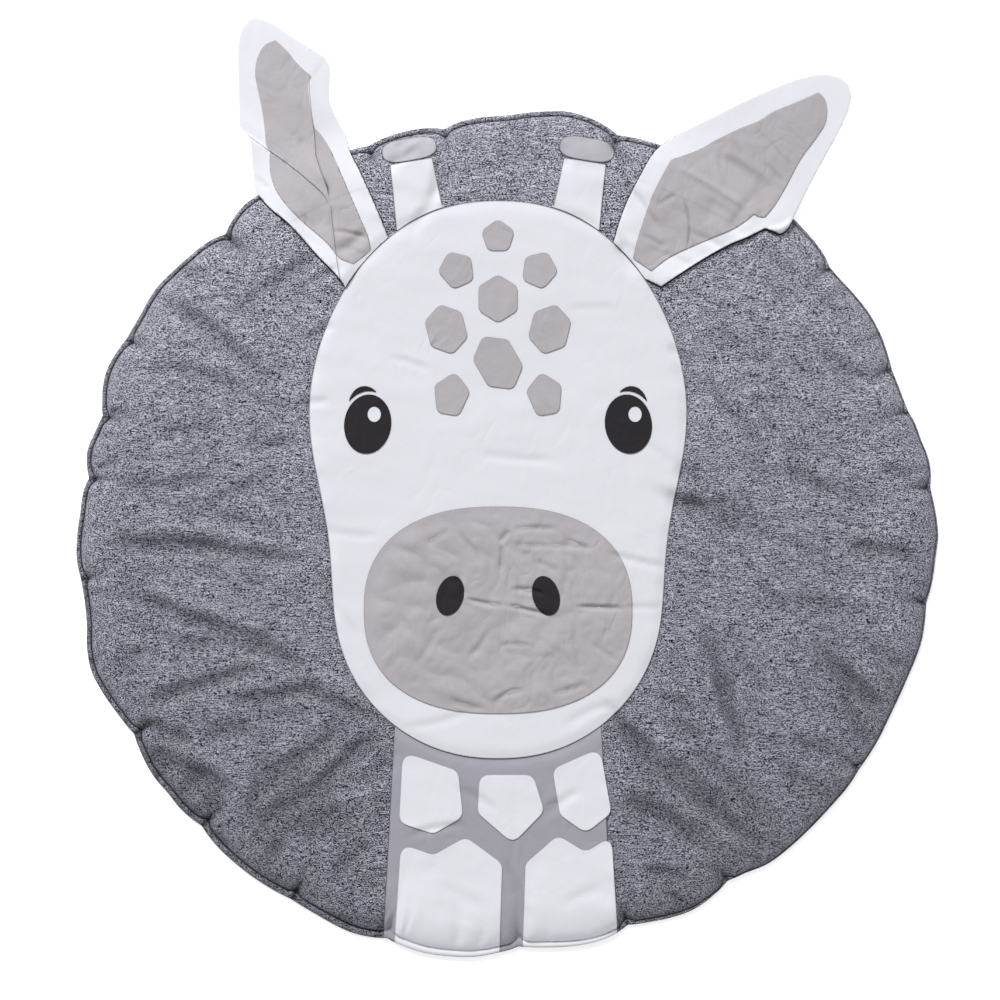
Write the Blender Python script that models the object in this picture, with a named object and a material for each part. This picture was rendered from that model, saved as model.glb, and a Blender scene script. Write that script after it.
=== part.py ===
"""A round padded play mat with an appliqued giraffe and two loose cloth ears, lying flat, face up.

Sizes are in metres. The origin is the middle of the flat underside, +Z is up, and +Y runs from
the giraffe's chin to its crown. Each cloth shape is the mat's own front surface, lifted by a
little, given a thickness, and trimmed by an upright prism of the shape's outline.
"""

import math
from collections import namedtuple

import bpy
import numpy as np

# Cloth
GAP = 0.0003
SHEET = 0.0010
EAR_SHEET = 0.0012

# The filled mat, from its edge inwards
RIM_BOTTOM = 0.0020
RIM_TOP = 0.0046
FLANGE = 0.0065
GROOVE_TOP = 0.0038
SHOULDER_RUN = 0.045
SHOULDER_TOP = 0.0170
CROWN_RUN = 0.250
CROWN_TOP = 0.0210
UNDERSIDE_RISE_RUN = 0.030

# Outline of the mat: the radius at its fullest places, and the puckers drawn in between them
RimRow = namedtuple("RimRow", "angle radius")
RIM = [
    RimRow(0, 0.4500),
    RimRow(20, 0.4405),
    RimRow(34, 0.4440),
    RimRow(50, 0.4458),
    RimRow(68, 0.4405),
    RimRow(83, 0.4485),
    RimRow(97, 0.4405),
    RimRow(112, 0.4384),
    RimRow(126, 0.4425),
    RimRow(145, 0.4532),
    RimRow(158, 0.4563),
    RimRow(180, 0.4545),
    RimRow(198, 0.4600),
    RimRow(214, 0.4520),
    RimRow(232, 0.4505),
    RimRow(247, 0.4516),
    RimRow(262, 0.4489),
    RimRow(279, 0.4395),
    RimRow(294, 0.4405),
    RimRow(314, 0.4421),
    RimRow(342, 0.4474),
]
PuckerRow = namedtuple("PuckerRow", "angle depth spread")
PUCKERS = [
    PuckerRow(7, 0.0050, 2.4),
    PuckerRow(17, 0.0040, 2.6),
    PuckerRow(75, 0.0090, 2.6),
    PuckerRow(99, 0.0080, 2.6),
    PuckerRow(133, 0.0120, 2.8),
    PuckerRow(153, 0.0050, 2.4),
    PuckerRow(163, 0.0110, 2.8),
    PuckerRow(172, 0.0080, 2.4),
    PuckerRow(185, 0.0050, 2.4),
    PuckerRow(207, 0.0090, 3.6),
    PuckerRow(223, 0.0070, 3.2),
    PuckerRow(253, 0.0110, 3.2),
    PuckerRow(271, 0.0130, 2.8),
    PuckerRow(287, 0.0100, 2.8),
    PuckerRow(303, 0.0120, 3.0),
    PuckerRow(329, 0.0050, 2.6),
    PuckerRow(351, 0.0040, 2.6),
]

# Soft troughs in the front, each along a straight line and fading over a share of its length
LINE_FADE = 0.3
FoldRow = namedtuple("FoldRow", "x0 y0 x1 y1 depth spread")
TROUGHS = [
    FoldRow(-0.351, 0.237, -0.284, 0.188, 0.0022, 0.012),
    FoldRow(-0.415, -0.010, -0.216, -0.020, 0.0024, 0.013),
    FoldRow(-0.391, -0.070, -0.302, -0.076, 0.0018, 0.012),
    FoldRow(-0.298, -0.153, -0.186, -0.170, 0.0020, 0.013),
    FoldRow(-0.139, -0.224, -0.250, -0.288, 0.0024, 0.012),
    FoldRow(0.114, -0.195, 0.181, -0.261, 0.0020, 0.013),
    FoldRow(0.206, -0.239, 0.270, -0.308, 0.0022, 0.013),
    FoldRow(0.331, -0.131, 0.395, -0.190, 0.0020, 0.013),
    FoldRow(0.345, -0.014, 0.392, -0.015, 0.0020, 0.012),
]

# Rings of the front: how far inside the edge, then scaled towards the middle, and points around
RingRow = namedtuple("RingRow", "inset share count")
AROUND = 108
FRONT_RINGS = [
    RingRow(0.0, 1.0, AROUND),
    RingRow(FLANGE, 1.0, AROUND),
    RingRow(0.0110, 1.0, AROUND),
    RingRow(0.0190, 1.0, AROUND),
    RingRow(0.0310, 1.0, AROUND),
    RingRow(0.0515, 1.0, AROUND),
    RingRow(0.0515, 0.90, AROUND),
    RingRow(0.0515, 0.79, AROUND),
    RingRow(0.0515, 0.66, AROUND // 2),
    RingRow(0.0515, 0.44, AROUND // 4),
]

# Head, neck and what is sewn on them; a roundness of 2 is a plain oval, above it squarer
OVAL = 2.0
AXIS_X = -0.0126
HEAD_TOP = 0.350
HEAD_BOTTOM = -0.2334
HEAD_HALF_WIDTH = 0.207
HEAD_ROUNDNESS = 2.2
WAIST_Y = -0.010
WAIST_RUN = 0.110
WAIST_DEPTH = 0.13
HEAD_POINTS = 52

MUZZLE_Y = -0.078
MUZZLE_HALF_SIZE = (0.140, 0.108)
MUZZLE_ROUNDNESS = 2.4
MUZZLE_POINTS = 32
NOSTRIL_SIDE = 0.050
NOSTRIL_Y = -0.063
NOSTRIL_HALF_SIZE = (0.014, 0.021)
NOSTRIL_TURN = 16
NOSTRIL_POINTS = 12

EYE_SIDE = 0.136
EYE_Y = 0.116
EYE_HALF_SIZE = (0.0245, 0.0310)
EYE_TURN = 8
EYE_POINTS = 16
LIGHT_OFFSET = (0.007, 0.010)
LIGHT_HALF_SIZE = (0.0070, 0.0080)
LIGHT_POINTS = 10
LASH_GAP = 0.0035
LASH_WIDTH = 0.0060
LASH_FROM = 38
LASH_TO = 98
LASH_POINTS = 6
LASH_END_SHARES = (0.12, 0.88)

SpotRow = namedtuple("SpotRow", "side y half_width half_height corners turn")
SPOTS = [
    SpotRow(0.000, 0.312, 0.0185, 0.0185, 5, 0),
    SpotRow(-0.043, 0.277, 0.0200, 0.0210, 5, 24),
    SpotRow(0.043, 0.277, 0.0200, 0.0210, 5, -24),
    SpotRow(0.000, 0.247, 0.0235, 0.0255, 6, 0),
    SpotRow(-0.054, 0.215, 0.0230, 0.0270, 6, 14),
    SpotRow(0.054, 0.215, 0.0230, 0.0270, 6, -14),
    SpotRow(0.000, 0.180, 0.0245, 0.0320, 6, 30),
    SpotRow(-0.049, 0.146, 0.0200, 0.0250, 5, -10),
    SpotRow(0.049, 0.146, 0.0200, 0.0250, 5, 10),
]
SPOT_CORNER = 0.0085
SPOT_CORNER_STEPS = 2

NECK_TOP_HALF_WIDTH = 0.1080
NECK_FOOT_HALF_WIDTH = 0.1230
NECK_TOP_Y = -0.190
NECK_FOOT_Y = -0.470
PATCH_CORNER = 0.012
PATCH_CORNER_STEPS = 3
NECK_PATCHES = [
    [(-0.112, -0.226), (-0.054, -0.246), (-0.049, -0.294), (-0.080, -0.312), (-0.116, -0.300)],
    [(-0.032, -0.250), (0.024, -0.250), (0.036, -0.288), (0.003, -0.322), (-0.034, -0.290)],
    [(0.044, -0.244), (0.094, -0.222), (0.106, -0.290), (0.079, -0.311), (0.052, -0.292)],
    [(-0.114, -0.322), (-0.080, -0.334), (-0.046, -0.315), (-0.008, -0.343), (-0.012, -0.470),
     (-0.124, -0.470)],
    [(0.016, -0.343), (0.050, -0.313), (0.079, -0.331), (0.106, -0.314), (0.116, -0.470),
     (0.012, -0.470)],
]

HORN_SIDE = 0.080
HORN_TURN = 9
HORN_FOOT_HALF_WIDTH = 0.0263
HORN_HEAD_HALF_WIDTH = 0.0223
HORN_BOTTOM = 0.322
HORN_TOP = 0.392
HORN_TIP_HALF_SIZE = (0.0290, 0.0125)
HORN_TIP_ROUNDNESS = 2.8
HORN_TIP_POINTS = 20

# Rounded corners: the most of a side that one of them takes up, and the points of an ear's
CORNER_REACH = 0.48
EAR_CORNER_STEPS = 4

# How an ear lies: on the front down to EAR_FALL_IN inside the edge, on the floor past EAR_FALL_OUT
EAR_LIFT = 0.0005
EAR_FALL_IN = 0.045
EAR_FALL_OUT = 0.045
CornerRow = namedtuple("CornerRow", "x y radius")

RIGHT_EAR = [
    CornerRow(0.1500, 0.2545, 0.001),
    CornerRow(0.2080, 0.2925, 0.150),
    CornerRow(0.2671, 0.3202, 0.003),
    CornerRow(0.2760, 0.3135, 0.004),
    CornerRow(0.2895, 0.3150, 0.010),
    CornerRow(0.3622, 0.4690, 0.050),
    CornerRow(0.3430, 0.4866, 0.050),
    CornerRow(0.2700, 0.4690, 0.100),
    CornerRow(0.1630, 0.4088, 0.012),
    CornerRow(0.1209, 0.3391, 0.100),
    CornerRow(0.0980, 0.2830, 0.001),
]
RIGHT_LINING = [
    CornerRow(0.1460, 0.2765, 0.002),
    CornerRow(0.2550, 0.3320, 0.002),
    CornerRow(0.2640, 0.3290, 0.010),
    CornerRow(0.3310, 0.4280, 0.060),
    CornerRow(0.3370, 0.4690, 0.016),
    CornerRow(0.1700, 0.3960, 0.008),
    CornerRow(0.1260, 0.2900, 0.002),
]
# Rings of the right ear's grid, as for the front; a negative inset lies outside the mat's edge
EarRingRow = namedtuple("EarRingRow", "inset share")
RIGHT_EAR_RINGS = [
    EarRingRow(0.0515, 0.66),
    EarRingRow(0.0515, 0.725),
    EarRingRow(0.0515, 0.79),
    EarRingRow(0.0515, 0.845),
    EarRingRow(0.0515, 0.90),
    EarRingRow(0.0515, 0.95),
    EarRingRow(0.0515, 1.0),
    EarRingRow(0.0310, 1.0),
    EarRingRow(0.0190, 1.0),
    EarRingRow(0.0110, 1.0),
    EarRingRow(0.0, 1.0),
    EarRingRow(-0.0120, 1.0),
    EarRingRow(-0.0250, 1.0),
    EarRingRow(-0.0450, 1.0),
    EarRingRow(-0.0700, 1.0),
    EarRingRow(-0.1000, 1.0),
    EarRingRow(-0.1350, 1.0),
    EarRingRow(-0.1900, 1.0),
]
RIGHT_EAR_ANGLES = (40, 78)
RIGHT_EAR_AROUND = 14
# Soft ridges that cross the right ear
EAR_RIDGES = [
    FoldRow(0.177, 0.330, 0.262, 0.322, 0.0026, 0.009),
    FoldRow(0.190, 0.372, 0.272, 0.352, 0.0022, 0.009),
    FoldRow(0.222, 0.402, 0.296, 0.376, 0.0024, 0.009),
    FoldRow(0.262, 0.420, 0.318, 0.404, 0.0018, 0.008),
]

LEFT_EAR = [
    CornerRow(-0.1700, 0.2600, 0.001),
    CornerRow(-0.2618, 0.3530, 0.020),
    CornerRow(-0.2734, 0.4140, 0.004),
    CornerRow(-0.2842, 0.4265, 0.003),
    CornerRow(-0.2860, 0.5270, 0.016),
    CornerRow(-0.2645, 0.5480, 0.012),
    CornerRow(-0.1905, 0.5015, 0.003),
    CornerRow(-0.1890, 0.4550, 0.020),
    CornerRow(-0.1667, 0.4006, 0.150),
    CornerRow(-0.1190, 0.2930, 0.001),
]
LEFT_LINING = [
    CornerRow(-0.1640, 0.2828, 0.002),
    CornerRow(-0.1790, 0.2902, 0.004),
    CornerRow(-0.2385, 0.3510, 0.020),
    CornerRow(-0.2513, 0.3790, 0.020),
    CornerRow(-0.2523, 0.4000, 0.003),
    CornerRow(-0.2566, 0.4100, 0.003),
    CornerRow(-0.2693, 0.4850, 0.060),
    CornerRow(-0.2615, 0.5190, 0.050),
    CornerRow(-0.2455, 0.5205, 0.003),
    CornerRow(-0.2095, 0.4822, 0.002),
    CornerRow(-0.2085, 0.4300, 0.010),
    CornerRow(-0.1800, 0.3860, 0.080),
    CornerRow(-0.1530, 0.3260, 0.030),
    CornerRow(-0.1451, 0.2975, 0.003),
]

# The pleat's edge, from the root to the ear's left side, with the way its layers run
PleatRow = namedtuple("PleatRow", "x y heading")
PLEAT = [
    PleatRow(-0.176, 0.252, 30),
    PleatRow(-0.182, 0.290, 36),
    PleatRow(-0.186, 0.322, 42),
    PleatRow(-0.191, 0.350, 48),
    PleatRow(-0.213, 0.372, 58),
    PleatRow(-0.237, 0.391, 69),
    PleatRow(-0.261, 0.408, 80),
    PleatRow(-0.285, 0.426, 91),
    PleatRow(-0.312, 0.446, 101),
]
PLEAT_TUCK = 0.009
PLEAT_LIFT = 0.0010
PLEAT_FALL_RUN = 0.028
PLEAT_FALL_SHARES = (0.0, 0.33, 0.67, 1.0)
UNDER_TURN_ANGLES = (-90, -30, 30, 90)
OVER_TURN_ANGLES = (-90, -30, 30, 90)
# Distances from the pleat's edge: under layer below zero, top layer above
UNDER_STEPS = (-0.090, -0.060, -0.038, -0.020, 0.0)
TOP_STEPS = (0.054, 0.072, 0.094, 0.122, 0.165, 0.235)

# Hidden cutters of the outlines
CUTTER_BOTTOM = -0.02
CUTTER_TOP = 0.06

# Edges sharper than this, in degrees, stay sharp in the shading
SHARP_EDGE = 40

# Cloth colours, linear
GREY_JERSEY = (0.223, 0.228, 0.274)
WHITE_COTTON = (0.770, 0.776, 0.815)
TAUPE_COTTON = (0.468, 0.440, 0.456)
NECK_GREY = (0.376, 0.371, 0.423)
TIP_GREY = (0.474, 0.468, 0.509)
BLACK_COTTON = (0.023, 0.021, 0.024)


def clear_scene():
    for thing in list(bpy.data.objects):
        bpy.data.objects.remove(thing)


def cloth(name, colour, roughness):
    """A plain cloth finish."""
    finish = bpy.data.materials.new(name)
    finish.use_nodes = True
    shader = finish.node_tree.nodes["Principled BSDF"]
    shader.inputs["Base Color"].default_value = (*colour, 1.0)
    shader.inputs["Roughness"].default_value = roughness
    shader.inputs["Metallic"].default_value = 0.0
    return finish


def mesh_object(name, points, faces, finish):
    """An object in the scene from points and faces."""
    mesh = bpy.data.meshes.new(name)
    mesh.from_pydata([tuple(point) for point in points], [], faces)
    mesh.materials.append(finish)
    mesh.shade_smooth()
    mesh.set_sharp_from_angle(angle=math.radians(SHARP_EDGE))
    thing = bpy.data.objects.new(name, mesh)
    bpy.context.scene.collection.objects.link(thing)
    return thing


def split(points, faces):
    """Faces as triangles, each quad split along its shorter diagonal in plan."""
    triangles = []
    for face in faces:
        if len(face) == 3:
            triangles.append(tuple(face))
            continue
        a, b, c, d = face
        if np.hypot(*(points[a] - points[c])[:2]) > np.hypot(*(points[b] - points[d])[:2]):
            a, b, c, d = b, c, d, a
        triangles += [(a, b, c), (a, c, d)]
    return triangles


# Shape of the mat -----------------------------------------------------------------------------


def ease(share):
    """0 to 1, level at both ends."""
    share = np.clip(share, 0, 1)
    return share * share * (3 - 2 * share)


def rim_radius(angle):
    """Radius of the mat's edge at an angle in radians."""
    degrees = np.degrees(angle) % 360
    fullest = np.zeros_like(degrees)
    for row, following in zip(RIM, RIM[1:] + [RimRow(RIM[0].angle + 360, RIM[0].radius)]):
        here = (degrees >= row.angle) & (degrees < following.angle)
        share = ease((degrees - row.angle) / (following.angle - row.angle))
        fullest = np.where(here, row.radius + (following.radius - row.radius) * share, fullest)
    for row in PUCKERS:
        away = (degrees - row.angle + 180) % 360 - 180
        fullest = fullest - row.depth * np.exp(-((away / row.spread) ** 2))
    return fullest


def inset_of(x, y):
    """How far a plan point lies inside the mat's edge."""
    return rim_radius(np.arctan2(y, x)) - np.hypot(x, y)


def line_bump(x, y, row):
    """A soft rise of 1 along the middle of a line, fading to its sides and ends."""
    along_x, along_y = row.x1 - row.x0, row.y1 - row.y0
    length = math.hypot(along_x, along_y)
    along = ((x - row.x0) * along_x + (y - row.y0) * along_y) / length**2
    across = ((x - row.x0) * along_y - (y - row.y0) * along_x) / length
    ends = ease(along / LINE_FADE) * ease((1 - along) / LINE_FADE)
    return ends * np.exp(-((across / row.spread) ** 2))


def front_height(x, y):
    """Height of the mat's front: flange, sewn groove, shoulder, crown and troughs."""
    inset = inset_of(x, y)
    flange = RIM_TOP + (GROOVE_TOP - RIM_TOP) * np.clip(inset / FLANGE, 0, 1)
    rise = np.clip((inset - FLANGE) / SHOULDER_RUN, 0, 1)
    shoulder = (SHOULDER_TOP - GROOVE_TOP) * np.sqrt(1 - (1 - rise) ** 2)
    crown = (CROWN_TOP - SHOULDER_TOP) * ease((inset - FLANGE) / CROWN_RUN)
    troughs = sum(row.depth * line_bump(x, y, row) for row in TROUGHS)
    return flange + shoulder + crown - troughs * rise


def drape_height(x, y, lift):
    """Height of the underside of a cloth that lies on the front and falls over the rim to the floor."""
    inset = inset_of(x, y)
    angle = np.arctan2(y, x)
    start = rim_radius(angle) - EAR_FALL_IN
    top = front_height(start * np.cos(angle), start * np.sin(angle)) + lift
    falling = top * ease((inset + EAR_FALL_OUT) / (EAR_FALL_IN + EAR_FALL_OUT))
    return np.where(inset > EAR_FALL_IN, front_height(x, y) + lift, falling)


def ring_plan(row, angle):
    """Plan points of one ring at the given angles."""
    radius = (rim_radius(angle) - row.inset) * row.share
    return radius * np.cos(angle), radius * np.sin(angle)


def band(outer, inner):
    """Faces between two closed rings of point numbers; the inner one may have half as many."""
    faces = []
    count = len(inner)
    step = len(outer) // count
    for i in range(count):
        following = (i + 1) % count
        if step == 1:
            faces.append((outer[i], outer[following], inner[following], inner[i]))
        else:
            first, middle, last = outer[2 * i], outer[2 * i + 1], outer[2 * following]
            faces += [(first, middle, inner[i]), (middle, last, inner[following])]
            faces.append((middle, inner[following], inner[i]))
    return faces


def front_surface():
    """Points and upward faces of the whole front, with its rings' point numbers."""
    points, rings, faces = [], [], []
    for row in FRONT_RINGS:
        angle = np.arange(row.count) * 2 * np.pi / row.count
        x, y = ring_plan(row, angle)
        rings.append(list(range(len(points), len(points) + row.count)))
        points += list(zip(x, y, front_height(x, y)))
    points.append((0.0, 0.0, float(front_height(np.array(0.0), np.array(0.0)))))
    points = np.array(points)
    for outer, inner in zip(rings, rings[1:]):
        faces += split(points, band(outer, inner))
    last, middle = rings[-1], len(points) - 1
    faces += [(last[i], last[(i + 1) % len(last)], middle) for i in range(len(last))]
    return points, faces, rings[0]


def lean_factors(points, faces):
    """For each point, how much taller an upright gap is than one square to the surface."""
    normals = np.zeros_like(points)
    for face in faces:
        a, b, c = (points[face[i]] for i in (0, 1, 2))
        normals[list(face)] += np.cross(b - a, c - a)
    return np.linalg.norm(normals, axis=1) / normals[:, 2]


def closed_slab(lower, upper, faces, edge):
    """Points and faces of the closed body between two copies of one surface."""
    count = len(lower)
    points = np.vstack((lower, upper))
    top = [tuple(i + count for i in face) for face in faces]
    bottom = [tuple(reversed(face)) for face in faces]
    following = edge[1:] + edge[:1]
    walls = [(a, b, b + count, a + count) for a, b in zip(edge, following)]
    return points, top + bottom + walls


def raised(points, heights):
    """Points moved straight up."""
    moved = points.copy()
    moved[:, 2] += heights
    return moved


# Outlines -------------------------------------------------------------------------------------


def squircle(centre, half_size, roundness, turn, count):
    """A rounded oval, an ellipse at roundness 2 and squarer above it, turned by degrees."""
    angle = np.arange(count) * 2 * np.pi / count
    power = 2 / roundness
    x = half_size[0] * np.sign(np.cos(angle)) * np.abs(np.cos(angle)) ** power
    y = half_size[1] * np.sign(np.sin(angle)) * np.abs(np.sin(angle)) ** power
    return turned(x, y, centre, turn)


def turned(x, y, centre, turn):
    """Points turned by degrees about zero, then moved to a centre."""
    cos, sin = math.cos(math.radians(turn)), math.sin(math.radians(turn))
    return list(zip(centre[0] + x * cos - y * sin, centre[1] + x * sin + y * cos))


def rounded(corners, steps):
    """A polygon with each corner, given as x, y and radius, replaced by an arc."""
    outline = []
    for i, (x, y, radius) in enumerate(corners):
        corner = np.array((x, y))
        before = np.array(corners[i - 1][:2]) - corner
        after = np.array(corners[(i + 1) % len(corners)][:2]) - corner
        before_length, after_length = np.linalg.norm(before), np.linalg.norm(after)
        before, after = before / before_length, after / after_length
        half_angle = math.acos(np.clip(before @ after, -1, 1)) / 2
        most = CORNER_REACH * min(before_length, after_length)
        reach = min(radius / math.tan(half_angle), most)
        for step in range(steps + 1):
            share = step / steps
            toward_before, toward_after = (1 - share) ** 2, share**2
            outline.append(tuple(corner + reach * (toward_before * before + toward_after * after)))
    return outline


def head_outline(grow):
    """The head's edge: a rounded oval drawn in at a waist, grown outwards by a distance."""
    half_height = (HEAD_TOP - HEAD_BOTTOM) / 2
    middle = (HEAD_TOP + HEAD_BOTTOM) / 2
    oval = squircle((0, middle), (HEAD_HALF_WIDTH, half_height), HEAD_ROUNDNESS, 0, HEAD_POINTS)
    x, y = np.array(oval).T
    x = AXIS_X + x * (1 - WAIST_DEPTH * np.exp(-(((y - WAIST_Y) / WAIST_RUN) ** 2)))
    tangent_x = np.roll(x, -1) - np.roll(x, 1)
    tangent_y = np.roll(y, -1) - np.roll(y, 1)
    length = np.hypot(tangent_x, tangent_y)
    return list(zip(x + grow * tangent_y / length, y - grow * tangent_x / length))


def many_sided(row):
    """A spot: a rounded polygon of a few sides inside an oval."""
    angle = np.arange(row.corners) * 2 * np.pi / row.corners + np.pi / 2
    x, y = row.half_width * np.cos(angle), row.half_height * np.sin(angle)
    places = turned(x, y, (AXIS_X + row.side, row.y), row.turn)
    return rounded([(px, py, SPOT_CORNER) for px, py in places], SPOT_CORNER_STEPS)


def lash_outline(side):
    """A slim crescent that follows the outer upper edge of an eye."""
    angle = np.radians(np.linspace(LASH_FROM, LASH_TO, LASH_POINTS))
    thick = LASH_WIDTH * np.sin(np.pi * np.linspace(*LASH_END_SHARES, LASH_POINTS))
    near = np.array(EYE_HALF_SIZE)[:, None] + LASH_GAP
    ray = np.array((np.cos(angle), np.sin(angle)))
    inner, outer = near * ray, near * ray + thick * ray
    x, y = np.hstack((inner, outer[:, ::-1]))
    x, y = (x, y) if side > 0 else (-x[::-1], y[::-1])
    outline = turned(x, y, (AXIS_X + side * EYE_SIDE, EYE_Y), side * EYE_TURN)
    return outline[::-1]


def horn_frame(side):
    """Foot of a horn and the directions across and along it."""
    lean = math.radians(-side * HORN_TURN)
    foot = np.array((AXIS_X + side * HORN_SIDE, HORN_BOTTOM))
    return foot, np.array((math.cos(lean), math.sin(lean))), np.array((-math.sin(lean), math.cos(lean)))


def horn_outline(side):
    """A stem that leans outwards from the crown and narrows a little upwards."""
    foot, across, along = horn_frame(side)
    height = HORN_TOP - HORN_BOTTOM
    low, high = HORN_FOOT_HALF_WIDTH, HORN_HEAD_HALF_WIDTH
    corners = [(-low, 0.0), (low, 0.0), (high, height), (-high, height)]
    return [tuple(foot + aside * across + rise * along) for aside, rise in corners]


def horn_tip_outline(side):
    """The rounded end of a horn."""
    foot, _, along = horn_frame(side)
    centre = foot + (HORN_TOP - HORN_BOTTOM + GAP + HORN_TIP_HALF_SIZE[1]) * along
    return squircle(centre, HORN_TIP_HALF_SIZE, HORN_TIP_ROUNDNESS, -side * HORN_TURN, HORN_TIP_POINTS)


def neck_outline():
    """The neck, from under the chin to past the mat's edge."""
    return [
        (AXIS_X - NECK_TOP_HALF_WIDTH, NECK_TOP_Y),
        (AXIS_X - NECK_FOOT_HALF_WIDTH, NECK_FOOT_Y),
        (AXIS_X + NECK_FOOT_HALF_WIDTH, NECK_FOOT_Y),
        (AXIS_X + NECK_TOP_HALF_WIDTH, NECK_TOP_Y),
    ]


def ear_outline(rows):
    """An ear's or a lining's edge from its corner rows."""
    return rounded([(row.x, row.y, row.radius) for row in rows], EAR_CORNER_STEPS)


# Pieces ---------------------------------------------------------------------------------------


def prism(name, outline):
    """An upright cutter of an outline, hidden, taller than everything on the mat."""
    area = sum(a[0] * b[1] - b[0] * a[1] for a, b in zip(outline, outline[1:] + outline[:1]))
    outline = outline if area > 0 else outline[::-1]
    count = len(outline)
    floor = [(x, y, CUTTER_BOTTOM) for x, y in outline]
    ceiling = [(x, y, CUTTER_TOP) for x, y in outline]
    faces = [tuple(range(2 * count - 1, count - 1, -1))[::-1], tuple(range(count))[::-1]]
    faces += [(i, (i + 1) % count, (i + 1) % count + count, i + count) for i in range(count)]
    mesh = bpy.data.meshes.new(name)
    mesh.from_pydata(floor + ceiling, [], faces)
    cutter = bpy.data.objects.new(name, mesh)
    bpy.context.scene.collection.objects.link(cutter)
    cutter.hide_render = True
    cutter.display_type = "WIRE"
    return cutter


def trim(piece, cutter, operation):
    """Keeps what is inside the cutter, or cuts it away."""
    modifier = piece.modifiers.new(cutter.name, "BOOLEAN")
    modifier.operation = operation
    modifier.solver = "EXACT"
    modifier.object = cutter


def build_mat(front, faces, edge, finish):
    """The filled mat: front, thin rim, and an underside that is flat on the floor."""
    count = len(front)
    angle = np.arange(AROUND) * 2 * np.pi / AROUND
    rim = front[edge].copy()
    rim[:, 2] = RIM_BOTTOM
    x, y = ring_plan(RingRow(UNDERSIDE_RISE_RUN, 1.0, AROUND), angle)
    sole = np.column_stack((x, y, np.zeros(AROUND)))
    rim_ring = list(range(count, count + AROUND))
    sole_ring = list(range(count + AROUND, count + 2 * AROUND))
    under = [tuple(reversed(face)) for face in band(rim_ring, sole_ring)]
    wall = [tuple(reversed(face)) for face in band(edge, rim_ring)]
    points = np.vstack((front, rim, sole))
    return mesh_object("mat_body", points, faces + wall + under + [tuple(reversed(sole_ring))], finish)


class Applique:
    """Cuts cloth shapes from the mat's front surface, at a level above it."""

    def __init__(self, front, faces, edge):
        self.front, self.faces, self.edge = front, faces, edge
        self.lean = lean_factors(front, faces)

    def cut(self, name, outline, level, finish):
        """One shape; level 0 lies on the mat, level 1 on a shape below it, and so on."""
        low = GAP + level * (SHEET + GAP)
        lower = raised(self.front, low * self.lean)
        upper = raised(self.front, (low + SHEET) * self.lean)
        piece = mesh_object(name, *closed_slab(lower, upper, self.faces, self.edge), finish)
        trim(piece, prism(f"{name}_outline", outline), "INTERSECT")
        return piece


def grid_solid(name, lower, upper, finish):
    """A closed sheet from two grids of points, rows by columns, counter-clockwise seen from above."""
    rows, columns = lower.shape[:2]
    number = np.arange(rows * columns).reshape(rows, columns)
    faces = []
    for i in range(rows - 1):
        for j in range(columns - 1):
            faces.append((number[i, j], number[i + 1, j], number[i + 1, j + 1], number[i, j + 1]))
    edge = np.concatenate((number[:, 0], number[-1, 1:], number[-2::-1, -1], number[0, -2:0:-1]))
    lower, upper = lower.reshape(-1, 3), upper.reshape(-1, 3)
    points, faces = closed_slab(lower, upper, split(lower, faces), edge.tolist())
    return mesh_object(name, points, faces, finish)


def right_ear_sheet(name, low, thick, finish):
    """A cloth that lies from the crown over the rim to the floor, with soft diagonal ridges."""
    first, last = RIGHT_EAR_ANGLES
    angle = np.radians(np.linspace(first, last, RIGHT_EAR_AROUND))
    plans = [ring_plan(row, angle) for row in RIGHT_EAR_RINGS]
    x, y = np.array([plan[0] for plan in plans]), np.array([plan[1] for plan in plans])
    ridges = sum(row.depth * line_bump(x, y, row) for row in EAR_RIDGES)
    z = drape_height(x, y, EAR_LIFT) + ridges + low
    lower = np.dstack((x, y, z))
    upper = np.dstack((x, y, z + thick))
    return grid_solid(name, lower, upper, finish)


def pleat_section():
    """The pleat's back-and-forth line, as distances from its edge and heights, and its left normals."""
    under_turn = GAP * 2 + SHEET + EAR_SHEET / 2
    over_turn = (EAR_SHEET + GAP) / 2
    level_0 = EAR_SHEET / 2
    level_1 = level_0 + 2 * under_turn
    level_2 = level_1 + 2 * over_turn
    line = [(step, level_0) for step in UNDER_STEPS]
    for angle in np.radians(UNDER_TURN_ANGLES):
        out, up = under_turn * math.cos(angle), under_turn * (1 + math.sin(angle))
        line.append((PLEAT_TUCK + out, level_0 + up))
    for angle in np.radians(OVER_TURN_ANGLES):
        out, up = over_turn * math.cos(angle), over_turn * (1 + math.sin(angle))
        line.append((-out, level_1 + up))
    for share in PLEAT_FALL_SHARES:
        height = level_2 + (level_0 - level_2) * float(ease(share))
        line.append((PLEAT_TUCK + share * PLEAT_FALL_RUN, height))
    line += [(step, level_0) for step in TOP_STEPS]
    line = np.array(line)
    runs = np.diff(line, axis=0)
    runs /= np.linalg.norm(runs, axis=1)[:, None]
    normals = np.column_stack((-runs[:, 1], runs[:, 0]))
    before, after = np.vstack((normals[:1], normals)), np.vstack((normals, normals[-1:]))
    mitre = before + after
    mitre /= (1 + (before * after).sum(axis=1))[:, None]
    return line, mitre


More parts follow.
